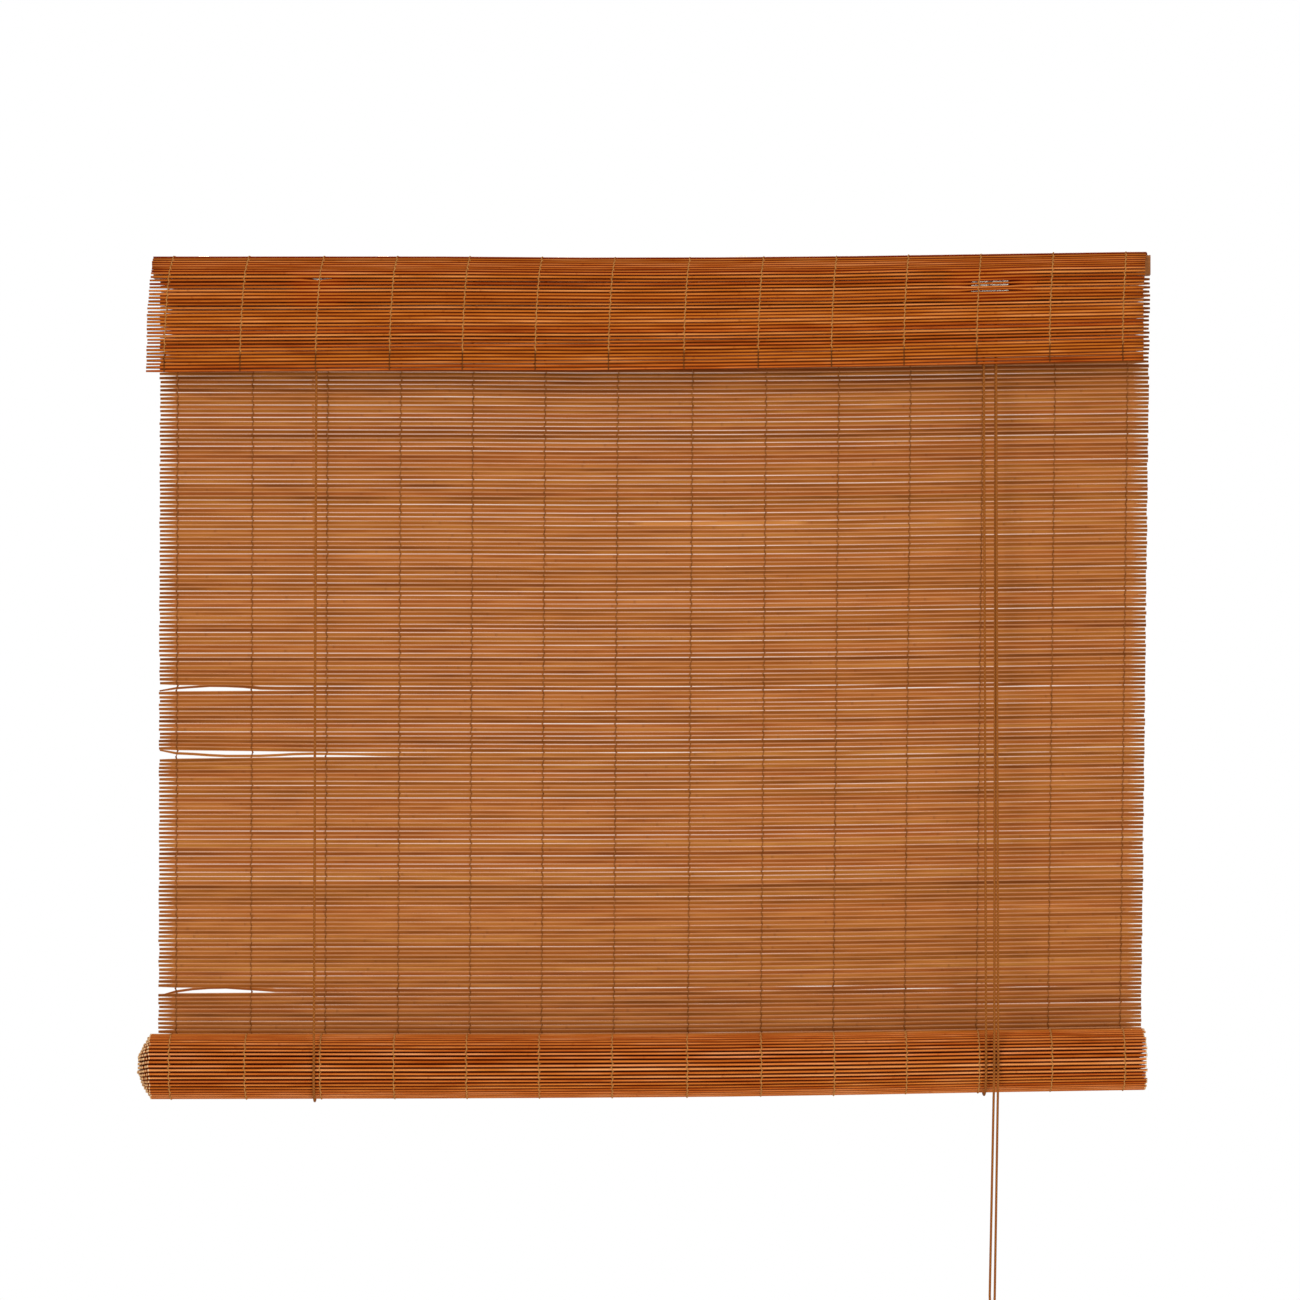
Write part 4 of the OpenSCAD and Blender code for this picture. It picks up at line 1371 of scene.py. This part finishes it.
def wood_finish(name, stretch, early, late, rough, coat):
    """Year rings between the colours of early and late wood, with or without a coat of varnish."""
    made, tree, skin = finish(name)
    grain = add(tree, "ShaderNodeGroup", node_tree=timber)
    grain.inputs["Stretch"].default_value = stretch
    pores = grain.outputs["Pores"]
    shade = maths(tree, "MULTIPLY", grain.outputs["Rings"], ranged(tree, pores, 0.3, 0.7, 0.6, 1.1))
    tree.links.new(mixed(tree, shade, (*early, 1), (*late, 1)), skin.inputs["Base Color"])
    tree.links.new(ranged(tree, pores, 0.3, 0.7, rough + 0.1, rough - 0.1), skin.inputs["Roughness"])
    skin.inputs["Coat Weight"].default_value = coat
    skin.inputs["Specular IOR Level"].default_value = 0.15
    bump = add(tree, "ShaderNodeBump", {"Strength": 0.15, "Distance": 0.0003, "Height": pores})
    tree.links.new(bump.outputs[0], skin.inputs["Normal"])
    return made


stained_wood = wood_finish("stained_wood", (3, 90, 90), (0.36, 0.125, 0.028), (0.22, 0.07, 0.014), 0.5, 0.0)
raw_wood = wood_finish("raw_wood", (3, 90, 90), (0.66, 0.47, 0.28), (0.5, 0.32, 0.16), 0.62, 0.0)
knob_wood = wood_finish("knob_wood", (160, 160, 18), (0.36, 0.13, 0.035), (0.18, 0.06, 0.016), 0.35, 0.2)
headrail.data.materials.append(stained_wood)
print("woods", stained_wood.name, raw_wood.name, knob_wood.name)

# %% [markdown]
# The pulley blocks, axles, screws and staples are zinc-plated steel. Zinc sets in small crystals, and
# Voronoi cells of slightly different shade and shine show them. The sheaves are moulded nylon, off-white
# with a faint mottle. One flat colour each would do for such small pieces, but it would look like paint.

# %% Metal and nylon
def metal_finish(name):
    """Zinc plate with its crystals."""
    made, tree, skin = finish(name)
    at = add(tree, "ShaderNodeTexCoord").outputs["Object"]
    spangle = add(tree, "ShaderNodeTexVoronoi", {"Vector": at, "Scale": 420.0}).outputs["Color"]
    shade = add(tree, "ShaderNodeSeparateColor", {0: spangle}).outputs[0]
    tree.links.new(mixed(tree, shade, (0.8, 0.71, 0.58, 1), (0.94, 0.87, 0.73, 1)), skin.inputs["Base Color"])
    tree.links.new(ranged(tree, shade, 0.0, 1.0, 0.3, 0.42), skin.inputs["Roughness"])
    skin.inputs["Metallic"].default_value = 0.85
    return made


def nylon_finish(name):
    """Mottled nylon."""
    made, tree, skin = finish(name)
    at = add(tree, "ShaderNodeTexCoord").outputs["Object"]
    mottle = add(tree, "ShaderNodeTexNoise", {"Vector": at, "Scale": 500.0, "Detail": 2.0}).outputs[0]
    shade = mixed(tree, mottle, (0.72, 0.69, 0.6, 1), (0.86, 0.84, 0.78, 1))
    tree.links.new(shade, skin.inputs["Base Color"])
    tree.links.new(ranged(tree, mottle, 0.3, 0.7, 0.35, 0.5), skin.inputs["Roughness"])
    return made


zinc = metal_finish("zinc_plate")
nylon = nylon_finish("moulded_nylon")
print("finishes", len(bpy.data.materials))

# %% [markdown]
# The solids that stay as they are only need their finish. They could be modelled again, but the packed
# solids of rod, knob, sheaves and metal are already as round and as fine as the real ones.

# %% Hardware
HARDWARE = {
    "bottom_rod": raw_wood, "pull_knob": knob_wood,
    "left_sheave": nylon, "right_rear_sheave": nylon, "right_front_sheave": nylon,
}
METAL = (
    "mat_staples", "valance_staples", "back_cord_staples", "left_bracket", "right_bracket",
    "left_axle", "right_axle", "bracket_screws",
)
HARDWARE.update({node: zinc for node in METAL})
for node, skin in HARDWARE.items():
    for place in frame["nodes"][node].material_slots:
        place.material = skin
print("dressed solids", len(HARDWARE))

# %% [markdown]
# ## Studio
#
# The blind hangs before a white background. A white wall behind it would catch its shadow, so the
# world itself is plain white where the camera, a mirror or a glass looks at it, and a softer white as a
# light.

# %% World
world = bpy.data.worlds.new("studio")
scene.world = world
world.use_nodes = True
tree = world.node_tree
tree.nodes.clear()
ray = add(tree, "ShaderNodeLightPath").outputs
mirrored = maths(tree, "MAXIMUM", ray["Is Glossy Ray"], ray["Is Transmission Ray"])
seen = maths(tree, "MAXIMUM", ray["Is Camera Ray"], mirrored)
soft = add(tree, "ShaderNodeBackground", {"Color": (1, 0.98, 0.96, 1), "Strength": 0.5}).outputs[0]
white = add(tree, "ShaderNodeBackground", {"Color": (1, 1, 1, 1), "Strength": 1.0}).outputs[0]
shown = add(tree, "ShaderNodeMixShader", {0: seen, 1: soft, 2: white}).outputs[0]
add(tree, "ShaderNodeOutputWorld", {0: shown})
print("world nodes", len(tree.nodes))

# %% [markdown]
# Two broad lamps stand in front of the blind, the stronger one at the upper left, and one stands behind
# it like a window. Small lamps would draw a hard line along each of the many sticks, and broad ones
# leave soft grooves.

# %% Lamps
def lamp(name, at, aim, size, watts):
    """A round area lamp that looks at a place."""
    light = bpy.data.lights.new(name, "AREA")
    light.shape = "DISK"
    light.size = size
    light.energy = watts
    made = bpy.data.objects.new(name, light)
    made.location = at
    made.rotation_euler = (Vector(aim) - Vector(at)).to_track_quat("-Z", "Y").to_euler()
    scene.collection.objects.link(made)


MIDDLE = (0, 0, -0.45)
lamp("key_lamp", (-1.5, -3.6, 0.5), MIDDLE, 1.8, 62)
lamp("fill_lamp", (1.7, -3.5, -0.9), MIDDLE, 2.0, 46)
lamp("back_lamp", (0.6, 3.4, 1.0), MIDDLE, 2.0, 60)
print("lamps", len(bpy.data.lights))

# %% [markdown]
# The floor belongs to the studio and not to the blind, so it is marked as stage. It lies well below,
# where the knob can come down without touching it.

# %% Floor
FLOOR_Z, FLOOR_HALF = -2.45, 5

slab = bmesh.new()
bmesh.ops.create_grid(slab, x_segments=1, y_segments=1, size=FLOOR_HALF)
bmesh.ops.translate(slab, verts=slab.verts, vec=(0, 0, FLOOR_Z))
floor = keep("floor", slab)
floor_skin, _, skin = finish("pale_floor")
skin.inputs["Base Color"].default_value = (0.82, 0.82, 0.81, 1)
skin.inputs["Roughness"].default_value = 0.8
floor.data.materials.append(floor_skin)
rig.stage(floor)
print("floor at", FLOOR_Z)

# %% Finish
low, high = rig.bounds()
with open("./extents.json", "w") as file:
    json.dump({"cad": [list(cad_low), list(cad_high)], "visual": [list(low), list(high)]}, file)
print("visual", [round(v, 4) for v in high - low])
